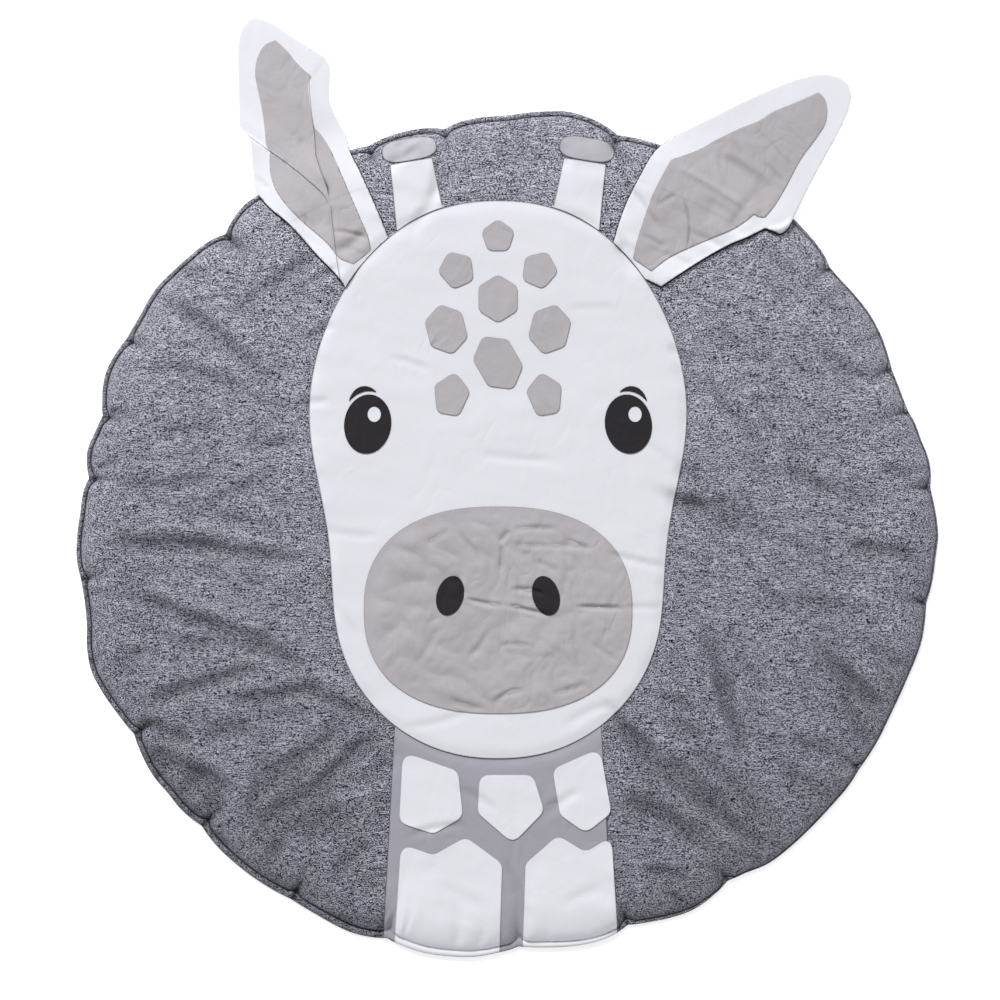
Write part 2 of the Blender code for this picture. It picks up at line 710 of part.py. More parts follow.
def left_ear_sheet(name, low, thick, finish):
    """A cloth with one pleat, each of its layers laid over the rim; low counts from its middle line."""
    line, normal = pleat_section()
    surfaces = []
    for offset in (low, low + thick):
        section = line + offset * normal
        rows = []
        for row in PLEAT:
            way = np.array((math.cos(math.radians(row.heading)), math.sin(math.radians(row.heading))))
            below = np.array((row.x, row.y)) + line[:, :1] * way
            height = drape_height(below[:, 0], below[:, 1], PLEAT_LIFT) + section[:, 1]
            rows.append(np.column_stack((below + (section - line)[:, :1] * way, height)))
        surfaces.append(np.array(rows).transpose(1, 0, 2))
    return grid_solid(name, surfaces[0], surfaces[1], finish)


def build_face(applique, white, taupe, black):
    """Head, muzzle, eyes and spots."""
    applique.cut("head", head_outline(0.0), 0, white)
    centre = (AXIS_X, MUZZLE_Y)
    muzzle = squircle(centre, MUZZLE_HALF_SIZE, MUZZLE_ROUNDNESS, 0, MUZZLE_POINTS)
    applique.cut("muzzle", muzzle, 1, taupe)
    for i, row in enumerate(SPOTS):
        applique.cut(f"spot_{i + 1}", many_sided(row), 1, taupe)
    for side, word in ((-1, "left"), (1, "right")):
        nostril = (AXIS_X + side * NOSTRIL_SIDE, NOSTRIL_Y)
        outline = squircle(nostril, NOSTRIL_HALF_SIZE, OVAL, side * NOSTRIL_TURN, NOSTRIL_POINTS)
        applique.cut(f"nostril_{word}", outline, 2, black)
        eye = (AXIS_X + side * EYE_SIDE, EYE_Y)
        outline = squircle(eye, EYE_HALF_SIZE, OVAL, side * EYE_TURN, EYE_POINTS)
        applique.cut(f"eye_{word}", outline, 1, black)
        light = (eye[0] + LIGHT_OFFSET[0], eye[1] + LIGHT_OFFSET[1])
        outline = squircle(light, LIGHT_HALF_SIZE, OVAL, 0, LIGHT_POINTS)
        applique.cut(f"eye_light_{word}", outline, 2, white)
        applique.cut(f"lash_{word}", lash_outline(side), 1, black)


def build_neck(applique, grey, white, head_edge):
    """The neck panel, trimmed to the chin, and its patches."""
    neck = applique.cut("neck", neck_outline(), 0, grey)
    trim(neck, head_edge, "DIFFERENCE")
    for i, corners in enumerate(NECK_PATCHES):
        outline = rounded([(x, y, PATCH_CORNER) for x, y in corners], PATCH_CORNER_STEPS)
        applique.cut(f"neck_patch_{i + 1}", outline, 1, white)


def build_horns(applique, white, grey, head_edge):
    """Two horns, trimmed to the crown, and their ends."""
    for side, word in ((-1, "left"), (1, "right")):
        horn = applique.cut(f"horn_{word}", horn_outline(side), 0, white)
        trim(horn, head_edge, "DIFFERENCE")
        applique.cut(f"horn_tip_{word}", horn_tip_outline(side), 0, grey)


def build_ears(white, taupe, head_edge):
    """Two loose ears, trimmed to the head's edge where they are sewn, and their linings."""
    ear = right_ear_sheet("ear_right", 0.0, EAR_SHEET, white)
    trim(ear, prism("ear_right_outline", ear_outline(RIGHT_EAR)), "INTERSECT")
    trim(ear, head_edge, "DIFFERENCE")
    lining = right_ear_sheet("ear_inner_right", EAR_SHEET + GAP, SHEET, taupe)
    trim(lining, prism("ear_inner_right_outline", ear_outline(RIGHT_LINING)), "INTERSECT")
    ear = left_ear_sheet("ear_left", -EAR_SHEET / 2, EAR_SHEET, white)
    trim(ear, prism("ear_left_outline", ear_outline(LEFT_EAR)), "INTERSECT")
    trim(ear, head_edge, "DIFFERENCE")
    lining = left_ear_sheet("ear_inner_left", EAR_SHEET / 2 + GAP, SHEET, taupe)
    trim(lining, prism("ear_inner_left_outline", ear_outline(LEFT_LINING)), "INTERSECT")


def main():
    clear_scene()
    jersey = cloth("grey_jersey", GREY_JERSEY, 0.9)
    white = cloth("white_cotton", WHITE_COTTON, 0.8)
    taupe = cloth("taupe_cotton", TAUPE_COTTON, 0.8)
    neck_grey = cloth("neck_grey", NECK_GREY, 0.8)
    tip_grey = cloth("tip_grey", TIP_GREY, 0.8)
    black = cloth("black_cotton", BLACK_COTTON, 0.7)
    front, faces, edge = front_surface()
    build_mat(front, faces, edge, jersey)
    applique = Applique(front, faces, edge)
    head_edge = prism("head_edge", head_outline(GAP))
    build_face(applique, white, taupe, black)
    build_neck(applique, neck_grey, white, head_edge)
    build_horns(applique, white, tip_grey, head_edge)
    build_ears(white, taupe, head_edge)


main()
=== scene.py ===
"""A round padded play mat of heather grey jersey with an appliqued giraffe and two loose ears.

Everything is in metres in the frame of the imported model: the origin is the middle of the flat
underside, +Z is up and +Y runs from the giraffe's chin to its crown. One height function, the
mat's front, carries every cloth that is sewn to it, so that each lies in the same creases.
"""

import logging
import math
from dataclasses import dataclass, field
from enum import Enum
from typing import Callable, Iterable, NamedTuple, TypeVar

import bpy
import numpy as np
from bpy.types import ID, Material, Node, NodeSocket, NodeTree, Object, Scene
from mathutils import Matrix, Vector


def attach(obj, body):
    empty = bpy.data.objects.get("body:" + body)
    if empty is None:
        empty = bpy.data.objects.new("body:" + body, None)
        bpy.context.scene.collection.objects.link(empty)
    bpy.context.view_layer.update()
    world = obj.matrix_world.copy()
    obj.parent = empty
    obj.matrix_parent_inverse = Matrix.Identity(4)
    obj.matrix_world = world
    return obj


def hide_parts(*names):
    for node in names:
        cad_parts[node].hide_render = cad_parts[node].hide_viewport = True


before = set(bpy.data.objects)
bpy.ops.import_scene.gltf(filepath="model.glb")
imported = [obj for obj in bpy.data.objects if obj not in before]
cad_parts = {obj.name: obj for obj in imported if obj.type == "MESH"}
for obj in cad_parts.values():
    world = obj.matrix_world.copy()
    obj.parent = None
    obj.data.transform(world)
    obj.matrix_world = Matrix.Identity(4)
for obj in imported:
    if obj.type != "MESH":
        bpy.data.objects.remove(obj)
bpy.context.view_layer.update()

LOG = logging.getLogger("play_mat")
Array = np.ndarray
Colour = tuple[float, float, float]
PlanValue = Callable[[Array, Array], Array]
Row = TypeVar("Row", bound=tuple)
MM = 0.001
SIDES = ((-1, "left"), (1, "right"))


# Tables are written in chart units: x to the right, y downwards, one unit UNIT metres long, with
# the mat's middle at CHART_MIDDLE.
UNIT = 0.0010514
CHART_MIDDLE = (510.0, 535.0)


# Tables ----


class Polar(NamedTuple):
    """A length at an angle round the mat, in degrees from +X."""

    angle: float
    value: float


class Crease(NamedTuple):
    """A crease between two plan points in chart units, as a trough with raised sides.

    It is bowed to its left in chart units; depth and width are in millimetres. Its crest raises
    the sides, and its lean makes it a step that is high on its left.
    """

    x0: float
    y0: float
    x1: float
    y1: float
    bow: float
    depth: float
    width: float
    crest: float = 0.8
    lean: float = 0.0


class RimPoint(NamedTuple):
    """A point of the mat's edge: degrees from +X, radius in chart units, and if it is a notch."""

    angle: float
    radius: float
    notch: bool = False


class Knot(NamedTuple):
    """A point of a curved outline in chart units, and whether the outline turns sharply there."""

    x: float
    y: float
    sharp: bool = False


class Spot(NamedTuple):
    """A rounded spot: its place beside the axis, its half size, its sides and its turn."""

    side: float
    y: float
    half_width: float
    half_height: float
    corners: int
    turn: float


class PleatRow(NamedTuple):
    """A point of the left ear's pleat edge and the way the cloth's layers run there, in degrees."""

    x: float
    y: float
    heading: float


def rows_of(kind: type[Row], *rows: tuple) -> tuple[Row, ...]:
    """A table of rows of one kind."""
    return tuple(kind(*row) for row in rows)


RIM = rows_of(
    RimPoint, (0, 427.7), (3, 426), (5, 424), (6.5, 422.5, True), (8.5, 425), (10.5, 425),
    (13, 421.8), (15.5, 419.8), (17.2, 416.8, True), (19.5, 416), (23.5, 415.8, True), (26, 419),
    (28, 421), (31.5, 422), (35, 419.8), (38, 417.5), (40, 416.8, True), (42, 421), (45, 423.3),
    (48, 424.3), (54, 423), (60, 421), (66, 418), (69.5, 417.6), (72, 416.3), (75, 413.8, True),
    (77.5, 421.3), (80, 425.5), (82.5, 427), (84.5, 425.6), (87, 423.3), (90, 419.8), (94, 418.3),
    (97, 416), (99.2, 410.6, True), (101, 414.5), (104, 416.7), (108, 416), (110, 413.6, True),
    (112.5, 416.5), (119, 420), (126.5, 423), (129, 423.4), (131, 420.5), (133.4, 413.6, True),
    (136, 421), (139, 424.6), (142, 428), (145, 431), (150, 430), (153, 430.6, True),
    (157.5, 435.3), (160, 433), (162, 428.5), (163.7, 424, True), (166, 427.2), (168.7, 430.6),
    (170.5, 428.8), (172.3, 424.2, True), (174, 428.3), (177, 430), (180, 432.5), (183, 433.6),
    (185.8, 431, True), (189, 430.2), (192, 432.3), (195, 437.6), (198, 439.8), (201, 436.6),
    (204.5, 430.8), (207.8, 424.8, True), (211, 428.6), (214, 430), (217, 428.2), (220, 427.8),
    (223.3, 423.4, True), (226, 426.6), (231, 427.7), (235, 426.9), (239, 424.4, True),
    (243, 425.7), (248, 427.6), (250.5, 425.6), (253, 421, True), (255.5, 424.4), (258.5, 426.2),
    (262, 425), (265, 423), (268, 418), (271.2, 411, True), (275, 413.5), (280.5, 415.7),
    (284, 413.4), (286.8, 406.8, True), (290, 411.3), (293, 414.9), (296, 416.7), (299, 414),
    (302.2, 408, True), (305, 411.8), (308, 417.3), (311, 418.8), (315, 419.3), (320, 420),
    (323.5, 421), (326.2, 420, True), (330, 421), (335, 420.6), (340, 422), (345.5, 424.7),
    (348.5, 423.2), (350.7, 421.3, True), (353.5, 424.2), (357, 425.8),
)
# Width of the stitched edge that shows outside the filled part, which bulges over it on the right
FLANGE_WIDTH = rows_of(
    Polar, (0, 0.0017), (35, 0.0022), (58, 0.0050), (95, 0.0058), (140, 0.0050), (180, 0.0050),
    (225, 0.0066), (256, 0.0078), (275, 0.0064), (292, 0.0040), (304, 0.0013), (335, 0.0014),
)
# Painted shade on the flange, as if in the shade of the filled part
FLANGE_SHADE = rows_of(
    Polar, (0, 0.10), (50, 0.08), (70, 0), (100, 0), (150, 0.16), (200, 0.18), (250, 0.14),
    (256, 0), (284, 0), (292, 0.10), (330, 0.06),
)
# How dark the painted shade in the groove inside the flange is
GROOVE_SHADE = rows_of(
    Polar, (0, 0.10), (45, 0.12), (62, 0.35), (100, 0.45), (140, 0.62), (200, 0.70), (252, 0.62),
    (258, 0.20), (282, 0.20), (288, 0.45), (304, 0.15), (340, 0.05),
)
JERSEY_CREASES = rows_of(
    Crease, (96, 548, 240, 546, 3, 3.2, 9, 1, 0.5), (176, 543, 312, 560, -2, 3, 8, 1, 0.4),
    (108, 590, 222, 632, 3, 2.6, 8, 1, 0.4), (180, 611, 320, 674, 3, 3, 8, 1, 0.4),
    (160, 294, 290, 402, 5, 3, 8, 1, 0.3), (132, 366, 270, 400, 8, 2.2, 8, 1, 0.2),
    (136, 748, 244, 794, 3, 2.8, 9, 1, 0.3), (170, 806, 224, 762, 2, 1.8, 8, 0.8, 0.3),
    (130, 720, 200, 742, 2, 2.4, 8, 0.8, 0.3), (196, 742, 262, 726, 2, 2.2, 9),
    (825, 658, 886, 718, 2, 3.4, 8, 0.9, -0.3), (833, 684, 868, 752, 2, 2.8, 6, 0.9),
    (862, 650, 904, 704, 2, 1.6, 4, 0.9), (676, 500, 742, 528, 2, 1.8, 7, 0.9, 0.3),
    (100, 488, 236, 474, -4, 2.4, 8, 0.9, 0.3), (196, 510, 292, 474, 3, 1.8, 8, 0.9, 0.2),
    (262, 300, 322, 255, 0, 2.8, 7), (230, 318, 268, 290, 0, 2, 7),
    (205, 513, 290, 532, 0, 1.8, 7), (238, 452, 306, 444, 3, 1.8, 7),
    (150, 440, 232, 428, 3, 1.8, 8), (128, 710, 270, 668, 4, 3, 8, 1, 0.4),
    (222, 700, 330, 682, -4, 2.8, 8, 1, 0.3), (290, 680, 384, 722, 0, 2.6, 8, 1, 0.3),
    (396, 712, 250, 838, 6, 3.2, 8, 1, 0.6), (362, 708, 236, 806, 6, 2.6, 9),
    (316, 742, 250, 776, 3, 2.4, 8), (182, 762, 226, 818, 3, 3, 12),
    (300, 846, 352, 800, 3, 2.6, 8), (330, 880, 376, 838, 2, 2.2, 7),
    (180, 650, 232, 640, 3, 1.8, 8), (112, 660, 168, 652, 3, 2, 7), (272, 864, 296, 812, 3, 2, 7),
    (776, 468, 832, 496, 2, 2.4, 7), (834, 545, 926, 562, 3, 3, 8, 0.8, 0.3),
    (706, 622, 734, 708, -3, 3.2, 8), (712, 668, 748, 748, -2, 3.2, 7, 0.8, -0.3),
    (606, 706, 720, 812, -8, 2.6, 8, 1, -0.5), (690, 786, 776, 850, -4, 2.6, 8),
    (806, 636, 884, 718, 0, 2.8, 9), (618, 788, 708, 852, 4, 2.8, 8, 0.8, -0.3),
    (712, 396, 764, 458, 4, 2, 7), (808, 340, 866, 392, 0, 2.2, 10),
    (700, 520, 766, 540, 2, 1.8, 8), (776, 596, 850, 618, 3, 2, 8),
    (700, 330, 756, 352, 3, 1.8, 8), (640, 866, 690, 880, 2, 2.2, 7),
    (654, 750, 734, 818, 3, 2.6, 7, 0.8, -0.3), (684, 738, 776, 834, 3, 2.2, 8),
    (622, 796, 656, 818, 0, 2.4, 6), (668, 716, 706, 742, 0, 2, 7),
    (760, 250, 800, 284, 2, 1.8, 8), (872, 470, 914, 476, 0, 2, 6),
    (860, 640, 904, 668, 0, 2.2, 6), (650, 690, 700, 716, 2, 1.8, 7),
    (780, 740, 836, 752, 2, 2, 8), (106, 412, 142, 420, 2, 2.8, 4.5),
    (88, 470, 124, 462, 0, 2.6, 4), (452, 122, 470, 158, 0, 1.6, 5),
    (392, 150, 420, 132, 0, 1.4, 5), (610, 140, 632, 176, 0, 1.8, 5),
    (205, 232, 252, 262, 3, 2.4, 8), (168, 268, 216, 282, 2, 2.2, 8),
)
COTTON_CREASES = rows_of(
    Crease, (598, 548, 682, 568, -3, 1.3, 4.5, 0.7, 0.4),
    (622, 606, 664, 606, 0, 1.2, 3.6, 0.6, 0.3), (388, 358, 432, 372, 2, 0.9, 5),
    (562, 312, 622, 310, 2, 0.8, 5.5), (318, 528, 384, 536, -2, 1, 6),
    (398, 726, 474, 708, -4, 1.2, 5), (560, 728, 620, 700, 4, 1, 6), (330, 600, 362, 640, 2, 1, 6),
    (640, 440, 676, 470, 2, 0.8, 6), (470, 452, 560, 460, -3, 0.8, 6),
    (432, 880, 492, 912, 3, 0.6, 9), (538, 820, 584, 786, 3, 1, 7), (452, 784, 500, 812, 3, 1, 7),
    (560, 906, 606, 884, 3, 0.6, 9), (402, 836, 470, 822, 3, 1.3, 6),
    (500, 850, 530, 930, 3, 1.2, 6), (498, 544, 512, 529, 0, 2, 3, 0.3, -0.5),
    (510, 529, 560, 529, 2, 1.3, 3.4, 0.4, 0.9), (504, 544, 590, 545, -2, 1.3, 3.4, 0.4, -0.9),
    (563, 538, 592, 549, -1, 1.9, 3, 0.3, 0.5), (502, 542, 501, 573, 1, 1.8, 3, 0.3, 0.6),
    (509, 587, 548, 593, 1, 2.2, 3, 0.3, 0.7), (455, 574, 465, 598, 2, 1.9, 3, 0.3, 0.6),
    (463, 596, 508, 604, -2, 1.9, 3, 0.4, 0.7), (503, 602, 551, 613, -1, 2.2, 3, 0.4, 0.7),
    (572, 605, 627, 607, 0, 2.3, 3, 0.4, 0.7), (466, 660, 491, 628, -2, 1.3, 4.5, 0.6, -0.5),
    (412, 668, 442, 620, -3, 0.9, 5, 0.6, -0.4), (492, 702, 526, 688, 4, 1.9, 3, 0.4, 0.7),
    (446, 694, 488, 707, -3, 1.4, 4, 0.6, 0.4), (550, 692, 588, 680, -2, 1.4, 4, 0.6, 0.4),
    (571, 628, 579, 676, 2, 1.2, 4, 0.6, 0.5), (458, 532, 483, 566, 2, 1.2, 4, 0.6, 0.5),
    (496, 645, 534, 645, 2, 1.1, 3.5), (398, 612, 420, 640, 0, 1, 4),
    (590, 640, 618, 662, 0, 1.2, 4, 0.6, 0.4), (530, 560, 560, 572, 2, 1.1, 4, 0.6, 0.5),
    (425, 545, 452, 528, 0, 1, 4),
)
RIGHT_EAR_CREASES = rows_of(
    Crease, (752, 125, 778, 146, -1, 1.3, 2.2, 0.4, 0.7),
    (770, 142, 797, 166, -2, 1.4, 2.4, 0.4, 0.7), (782, 121, 811, 147, -1, 1.1, 2, 0.4, 0.6),
    (715, 153, 776, 195, 3, 2, 6.5, 0.8, 0.3), (670, 166, 755, 219, 4, -1.9, 5, 0.8, 0.3),
    (708, 152, 724, 189, 0, -0.6, 3.6), (681, 198, 685, 256, 6, 1.9, 1.7, 0.3, 1.1),
    (764, 231, 793, 219, -5, -2.6, 4, 0.4), (700, 200, 742, 228, 3, 1, 6),
    (640, 236, 666, 250, 0, 1, 3.5), (655, 208, 676, 196, 0, 1, 4),
    (762, 160, 786, 186, 0, 1.2, 4, 0.6, 0.4), (732, 140, 744, 158, 0, 0.9, 3.5),
    (664, 286, 764, 231, 0, -2.2, 5, 0.3),
)
LEFT_EAR_CREASES = rows_of(
    Crease, (330, 231, 374, 240, 1, 1.5, 2.6, 0.3, 1.1), (344, 246, 366, 257, 0, 1, 2.8, 0.4, 0.7),
    (276, 94, 289, 85, 0, 1, 3), (262, 104, 279, 101, 0, 0.9, 3.2),
    (268, 148, 274, 156, 0, 1.2, 2.4), (283, 160, 289, 166, 0, 1.2, 2.2),
    (290, 128, 304, 150, 2, 1, 4), (298, 104, 306, 122, 0, 0.9, 3), (254, 176, 272, 192, 0, 1, 4),
    (300, 214, 320, 240, 2, 1, 4), (262, 200, 342, 284, 0, -1.6, 4.5, 0.3),
    (356, 164, 391, 244, 0, -1.4, 4.5, 0.3), (311, 78, 326, 60, 0, 0.5, 3, 0.4, 0.8),
)

SPOTS = rows_of(
    Spot, (0.000, 0.312, 0.0185, 0.0185, 5, 0), (-0.043, 0.277, 0.0200, 0.0210, 5, 24),
    (0.043, 0.277, 0.0200, 0.0210, 5, -24), (0.000, 0.247, 0.0235, 0.0255, 6, 0),
    (-0.054, 0.215, 0.0230, 0.0270, 6, 14), (0.054, 0.215, 0.0230, 0.0270, 6, -14),
    (0.000, 0.180, 0.0245, 0.0320, 6, 30), (-0.049, 0.146, 0.0200, 0.0250, 5, -10),
    (0.049, 0.146, 0.0200, 0.0250, 5, 10),
)
NECK_PATCHES = (
    ((-0.112, -0.226), (-0.054, -0.246), (-0.049, -0.294), (-0.080, -0.312), (-0.116, -0.300)),
    ((-0.032, -0.250), (0.024, -0.250), (0.036, -0.288), (0.003, -0.322), (-0.034, -0.290)),
    ((0.044, -0.244), (0.094, -0.222), (0.106, -0.290), (0.079, -0.311), (0.052, -0.292)),
    ((-0.114, -0.322), (-0.080, -0.334), (-0.046, -0.315), (-0.008, -0.343), (-0.012, -0.470),
     (-0.124, -0.470)),
    ((0.016, -0.343), (0.050, -0.313), (0.079, -0.331), (0.106, -0.314), (0.116, -0.470),
     (0.012, -0.470)),
)
RIGHT_EAR = rows_of(
    Knot, (608, 262, True), (612.3, 246.7), (616.7, 230), (625, 206.7), (640, 176.7),
    (651.5, 156.7), (663, 144.5), (683, 131.7), (716.7, 115), (746.7, 100), (776.7, 86.7),
    (800, 78.3), (820, 74.3), (836.7, 76.7), (846.7, 83.3), (850.8, 93.3), (850, 103.3),
    (845, 118.3), (833.3, 141.7), (816.7, 171.7), (793.5, 216.5, True), (790, 223.5), (784.5, 232),
    (778.3, 235.3), (771.7, 233), (763.5, 229.8, True), (746.7, 238.3), (726.7, 246.7),
    (700, 261.7), (676.7, 276.7), (660, 288, True),
)
RIGHT_LINING = rows_of(
    Knot, (670, 161.7, True), (696.7, 151.5), (716.7, 140), (740, 128.5), (760, 120.3),
    (773.3, 111.8), (790, 105), (806.7, 98), (818, 92.6, True), (824, 98.3), (826.8, 110),
    (825, 123.3), (816.7, 137), (800, 160), (786.7, 185), (773.3, 206.7), (763.5, 219, True),
    (757, 218.6), (752.3, 216, True), (743.3, 223.5), (730, 231.7), (710, 240), (686.7, 250),
    (666.7, 260), (650, 272.7, True), (632, 260, True), (635, 246.7), (643.3, 220), (653.3, 193.3),
)
LEFT_EAR = rows_of(
    Knot, (239.2, 39.7), (243.7, 25.5), (255, 17.6), (268.7, 21.9), (292, 36.6), (315.6, 51.6),
    (326, 58.2, True), (329.3, 66), (329.7, 100.6), (334, 113), (340.6, 125.6), (346.9, 138),
    (350.8, 154), (358.5, 169), (370, 194), (380, 217), (392, 247, True), (348, 291, True),
    (340.6, 280), (318.8, 257), (290.6, 225.6), (272, 210), (259, 196, True), (256.4, 192),
    (253, 168), (251, 146), (249.6, 137, True), (239.4, 128.8, True), (238.8, 90),
)
LEFT_LINING = rows_of(
    Knot, (275.5, 40.4, True), (265.6, 44.8), (257.8, 56.9), (255.2, 72.5), (257.4, 88),
    (261, 103.8), (263.6, 119.4), (265.4, 135), (266.3, 147, True), (270.5, 150, True),
    (269.8, 158), (271.3, 175.6), (276.6, 191), (287.5, 206.9), (306, 225.6), (328, 245),
    (337, 256, True), (341, 260.5), (354.7, 266, True), (362.5, 260), (371.8, 251.5, True),
    (370, 241), (362.5, 222.5), (353, 200.6), (343.6, 178.8), (331, 151), (322, 136),
    (314.2, 127.6, True), (311.4, 114), (309, 96), (309, 82), (311.6, 76.4, True), (300, 66.5),
    (287.5, 51.5), (280.5, 44.6),
)

PLEAT = rows_of(
    PleatRow, (-0.176, 0.252, 30), (-0.182, 0.290, 36), (-0.186, 0.322, 42), (-0.191, 0.3515, 48),
    (-0.213, 0.3740, 58), (-0.237, 0.3935, 69), (-0.261, 0.4105, 80), (-0.285, 0.4275, 91),
    (-0.312, 0.4470, 101),
)
PLEAT_APEX = 3
# The line where the left ear's tongue ends on its right, from the pleat's apex out past the ear
TONGUE_EDGE = rows_of(
    Knot, (329.2, 200), (328, 191), (321.9, 175.6), (315.8, 157), (314.2, 135), (311.4, 116),
    (309.4, 95), (309, 78), (309.4, 50), (307, 20), (298, -5), (270, -35), (210, -60), (120, -65),
)


# Small mathematics ----


def ease(share: Array) -> Array:
    """A smooth step, 3 s squared less 2 s cubed, of a share clipped to 0 to 1."""
    share = np.clip(share, 0.0, 1.0)
    return share * share * (3.0 - 2.0 * share)


def cubic(t: Array, start: Array, end: Array, leave: Array, arrive: Array) -> Array:
    """A cubic from start to end with the slopes at both ends given, read at t from 0 to 1."""
    return ((2 * t**3 - 3 * t**2 + 1) * start + (t**3 - 2 * t**2 + t) * leave
            + (3 * t**2 - 2 * t**3) * end + (t**3 - t**2) * arrive)


def rays(angle: Array) -> Array:
    """Unit vectors in plan at angles in radians, of shape (..., 2)."""
    return np.stack((np.cos(angle), np.sin(angle)), -1)


def bell(away: Array, width: float) -> Array:
    """A bell curve, exp of minus the square of a distance over its width."""
    return np.exp(-((away / width) ** 2))


def eased_table(rows: tuple[Polar, ...], degrees: Array) -> Array:
    """A closed table of values by angle, each eased into the next.

    Args:
        rows: Rows in rising angle from 0.
        degrees: Angles to read at.

    Returns:
        The value at each angle.
    """
    angles = np.array([row.angle for row in rows], float)
    values = np.array([row.value for row in rows])
    place = np.mod(degrees, 360.0)
    at = np.searchsorted(angles, place, side="right") - 1
    following = (at + 1) % len(rows)
    span = np.mod(angles[following] - angles[at], 360.0)
    return values[at] + (values[following] - values[at]) * ease((place - angles[at]) / span)


def turn_between(degrees: Array, angle: float) -> Array:
    """Signed turn from an angle to others, from -180 to 180."""
    return np.mod(degrees - angle + 180.0, 360.0) - 180.0


def wave_noise(x: Array, y: Array, seed: int, shortest: float, longest: float) -> Array:
    """Smooth random relief: the sum of 16 sine waves of random heading, phase and length.

    Args:
        x: First coordinate.
        y: Second coordinate.
        seed: Seed of the draw.
        shortest: Shortest wave.
        longest: Longest wave.

    Returns:
        Relief with a spread of about 1.
    """
    draw = np.random.default_rng(seed)
    count = 16
    heading = draw.uniform(0, 2 * np.pi, count)
    length = draw.uniform(shortest, longest, count)
    phase = draw.uniform(0, 2 * np.pi, count)
    total = np.zeros_like(x)
    for angle, wave, start in zip(heading, length, phase):
        total += np.sin(2 * np.pi * (x * np.cos(angle) + y * np.sin(angle)) / wave + start)
    return total / math.sqrt(count / 2)


@dataclass(frozen=True)
class Waves:
    """Loose relief of cloth: its height, and its noise's seed, shortest and longest wave."""

    height: float
    seed: int
    shortest: float
    longest: float

    def noise(self, x: Array, y: Array) -> Array:
        """The noise alone at plan coordinates."""
        return wave_noise(x, y, self.seed, self.shortest, self.longest)

    def at(self, x: Array, y: Array) -> Array:
        """The relief at plan coordinates."""
        return self.height * self.noise(x, y)

    def ridged(self, x: Array, y: Array, soft: float) -> Array:
        """The relief folded up at its zero lines, as the root of its square plus a softness."""
        return self.height * np.sqrt(self.noise(x, y) ** 2 + soft)


def on_chart(x: float | Array, y: float | Array) -> tuple[float | Array, float | Array]:
    """Plan coordinates in metres of a place in chart units."""
    return (x - CHART_MIDDLE[0]) * UNIT, (CHART_MIDDLE[1] - y) * UNIT


def across_crease(row: Crease, x: Array, y: Array) -> tuple[Array, Array]:
    """Where plan points lie on a crease.

    Args:
        row: The crease.
        x: Plan coordinates.
        y: Plan coordinates.

    Returns:
        How far the crease has faded in there, full between 3 tenths and 7 tenths of its run, and
        the distance from its bowed line over its width, positive on its left.
    """
    (x0, y0), (x1, y1) = on_chart(row.x0, row.y0), on_chart(row.x1, row.y1)
    run_x, run_y = x1 - x0, y1 - y0
    length = math.hypot(run_x, run_y)
    along = ((x - x0) * run_x + (y - y0) * run_y) / length**2
    across = ((y - y0) * run_x - (x - x0) * run_y) / length
    off = (across - row.bow * UNIT * 4 * along * (1 - along)) / (row.width * MM)
    return ease(along / 0.3) * ease((1 - along) / 0.3), off


def crease_relief(rows: Iterable[Crease], x: Array, y: Array) -> Array:
    """Creases: depth times exp(-a squared) times (crest times a squared - 1 + lean times a).

    a is the distance from the bowed line over the width.

    Args:
        rows: The creases.
        x: Plan coordinates.
        y: Plan coordinates.

    Returns:
        Height to add.
    """
    relief = np.zeros_like(x)
    for row in rows:
        fade, off = across_crease(row, x, y)
        square = off * off
        shape = row.crest * square - 1 + row.lean * off
        relief += row.depth * MM * fade * np.exp(-square) * shape
    return relief


def crease_shade(rows: Iterable[Crease], x: Array, y: Array, strength: float) -> Array:
    """Painted shade in the bottoms of creases: strength for each millimetre of depth."""
    shade = np.zeros_like(x)
    for row in rows:
        fade, off = across_crease(row, x, y)
        shade += strength * max(row.depth, 0.0) * fade * np.exp(-1.6 * off * off)
    return shade


# Outlines ----


def squircle(centre: tuple[float, float], half_size: tuple[float, float], roundness: float,
             turn: float, count: int) -> Array:
    """A rounded oval: each coordinate is the half size times the cosine or sine to 2 / roundness.

    Args:
        centre: Its middle.
        half_size: Half its width and height.
        roundness: 2 for an ellipse, more for a squarer shape.
        turn: Turn in degrees.
        count: Points.

    Returns:
        Counter-clockwise points, shape (count, 2).
    """
    angle = np.arange(count) * 2 * np.pi / count
    wave = rays(angle)
    flat = np.array(half_size) * np.sign(wave) * np.abs(wave) ** (2 / roundness)
    return turned(flat, turn) + np.array(centre)


def turned(points: Array, degrees: float) -> Array:
    """Plan points turned about zero."""
    cos, sin = math.cos(math.radians(degrees)), math.sin(math.radians(degrees))
    return points @ np.array(((cos, sin), (-sin, cos)))


def rounded(corners: Array, radii: Array, steps: int = 8) -> Array:
    """A polygon whose corners are replaced by quadratic arcs.

    Args:
        corners: Corner points, shape (count, 2).
        radii: How far each is rounded.
        steps: Parts of each arc.

    Returns:
        Points, shape (count * (steps + 1), 2).
    """
    before, after = np.roll(corners, 1, 0) - corners, np.roll(corners, -1, 0) - corners
    long_before, long_after = np.linalg.norm(before, axis=1), np.linalg.norm(after, axis=1)
    before, after = before / long_before[:, None], after / long_after[:, None]
    half = np.arccos(np.clip((before * after).sum(1), -1, 1)) / 2
    reach = np.minimum(radii / np.tan(half), 0.48 * np.minimum(long_before, long_after))
    share = np.linspace(0, 1, steps + 1)[None, :, None]
    arc = (1 - share) ** 2 * before[:, None] + share**2 * after[:, None]
    return (corners[:, None] + reach[:, None, None] * arc).reshape(-1, 2)


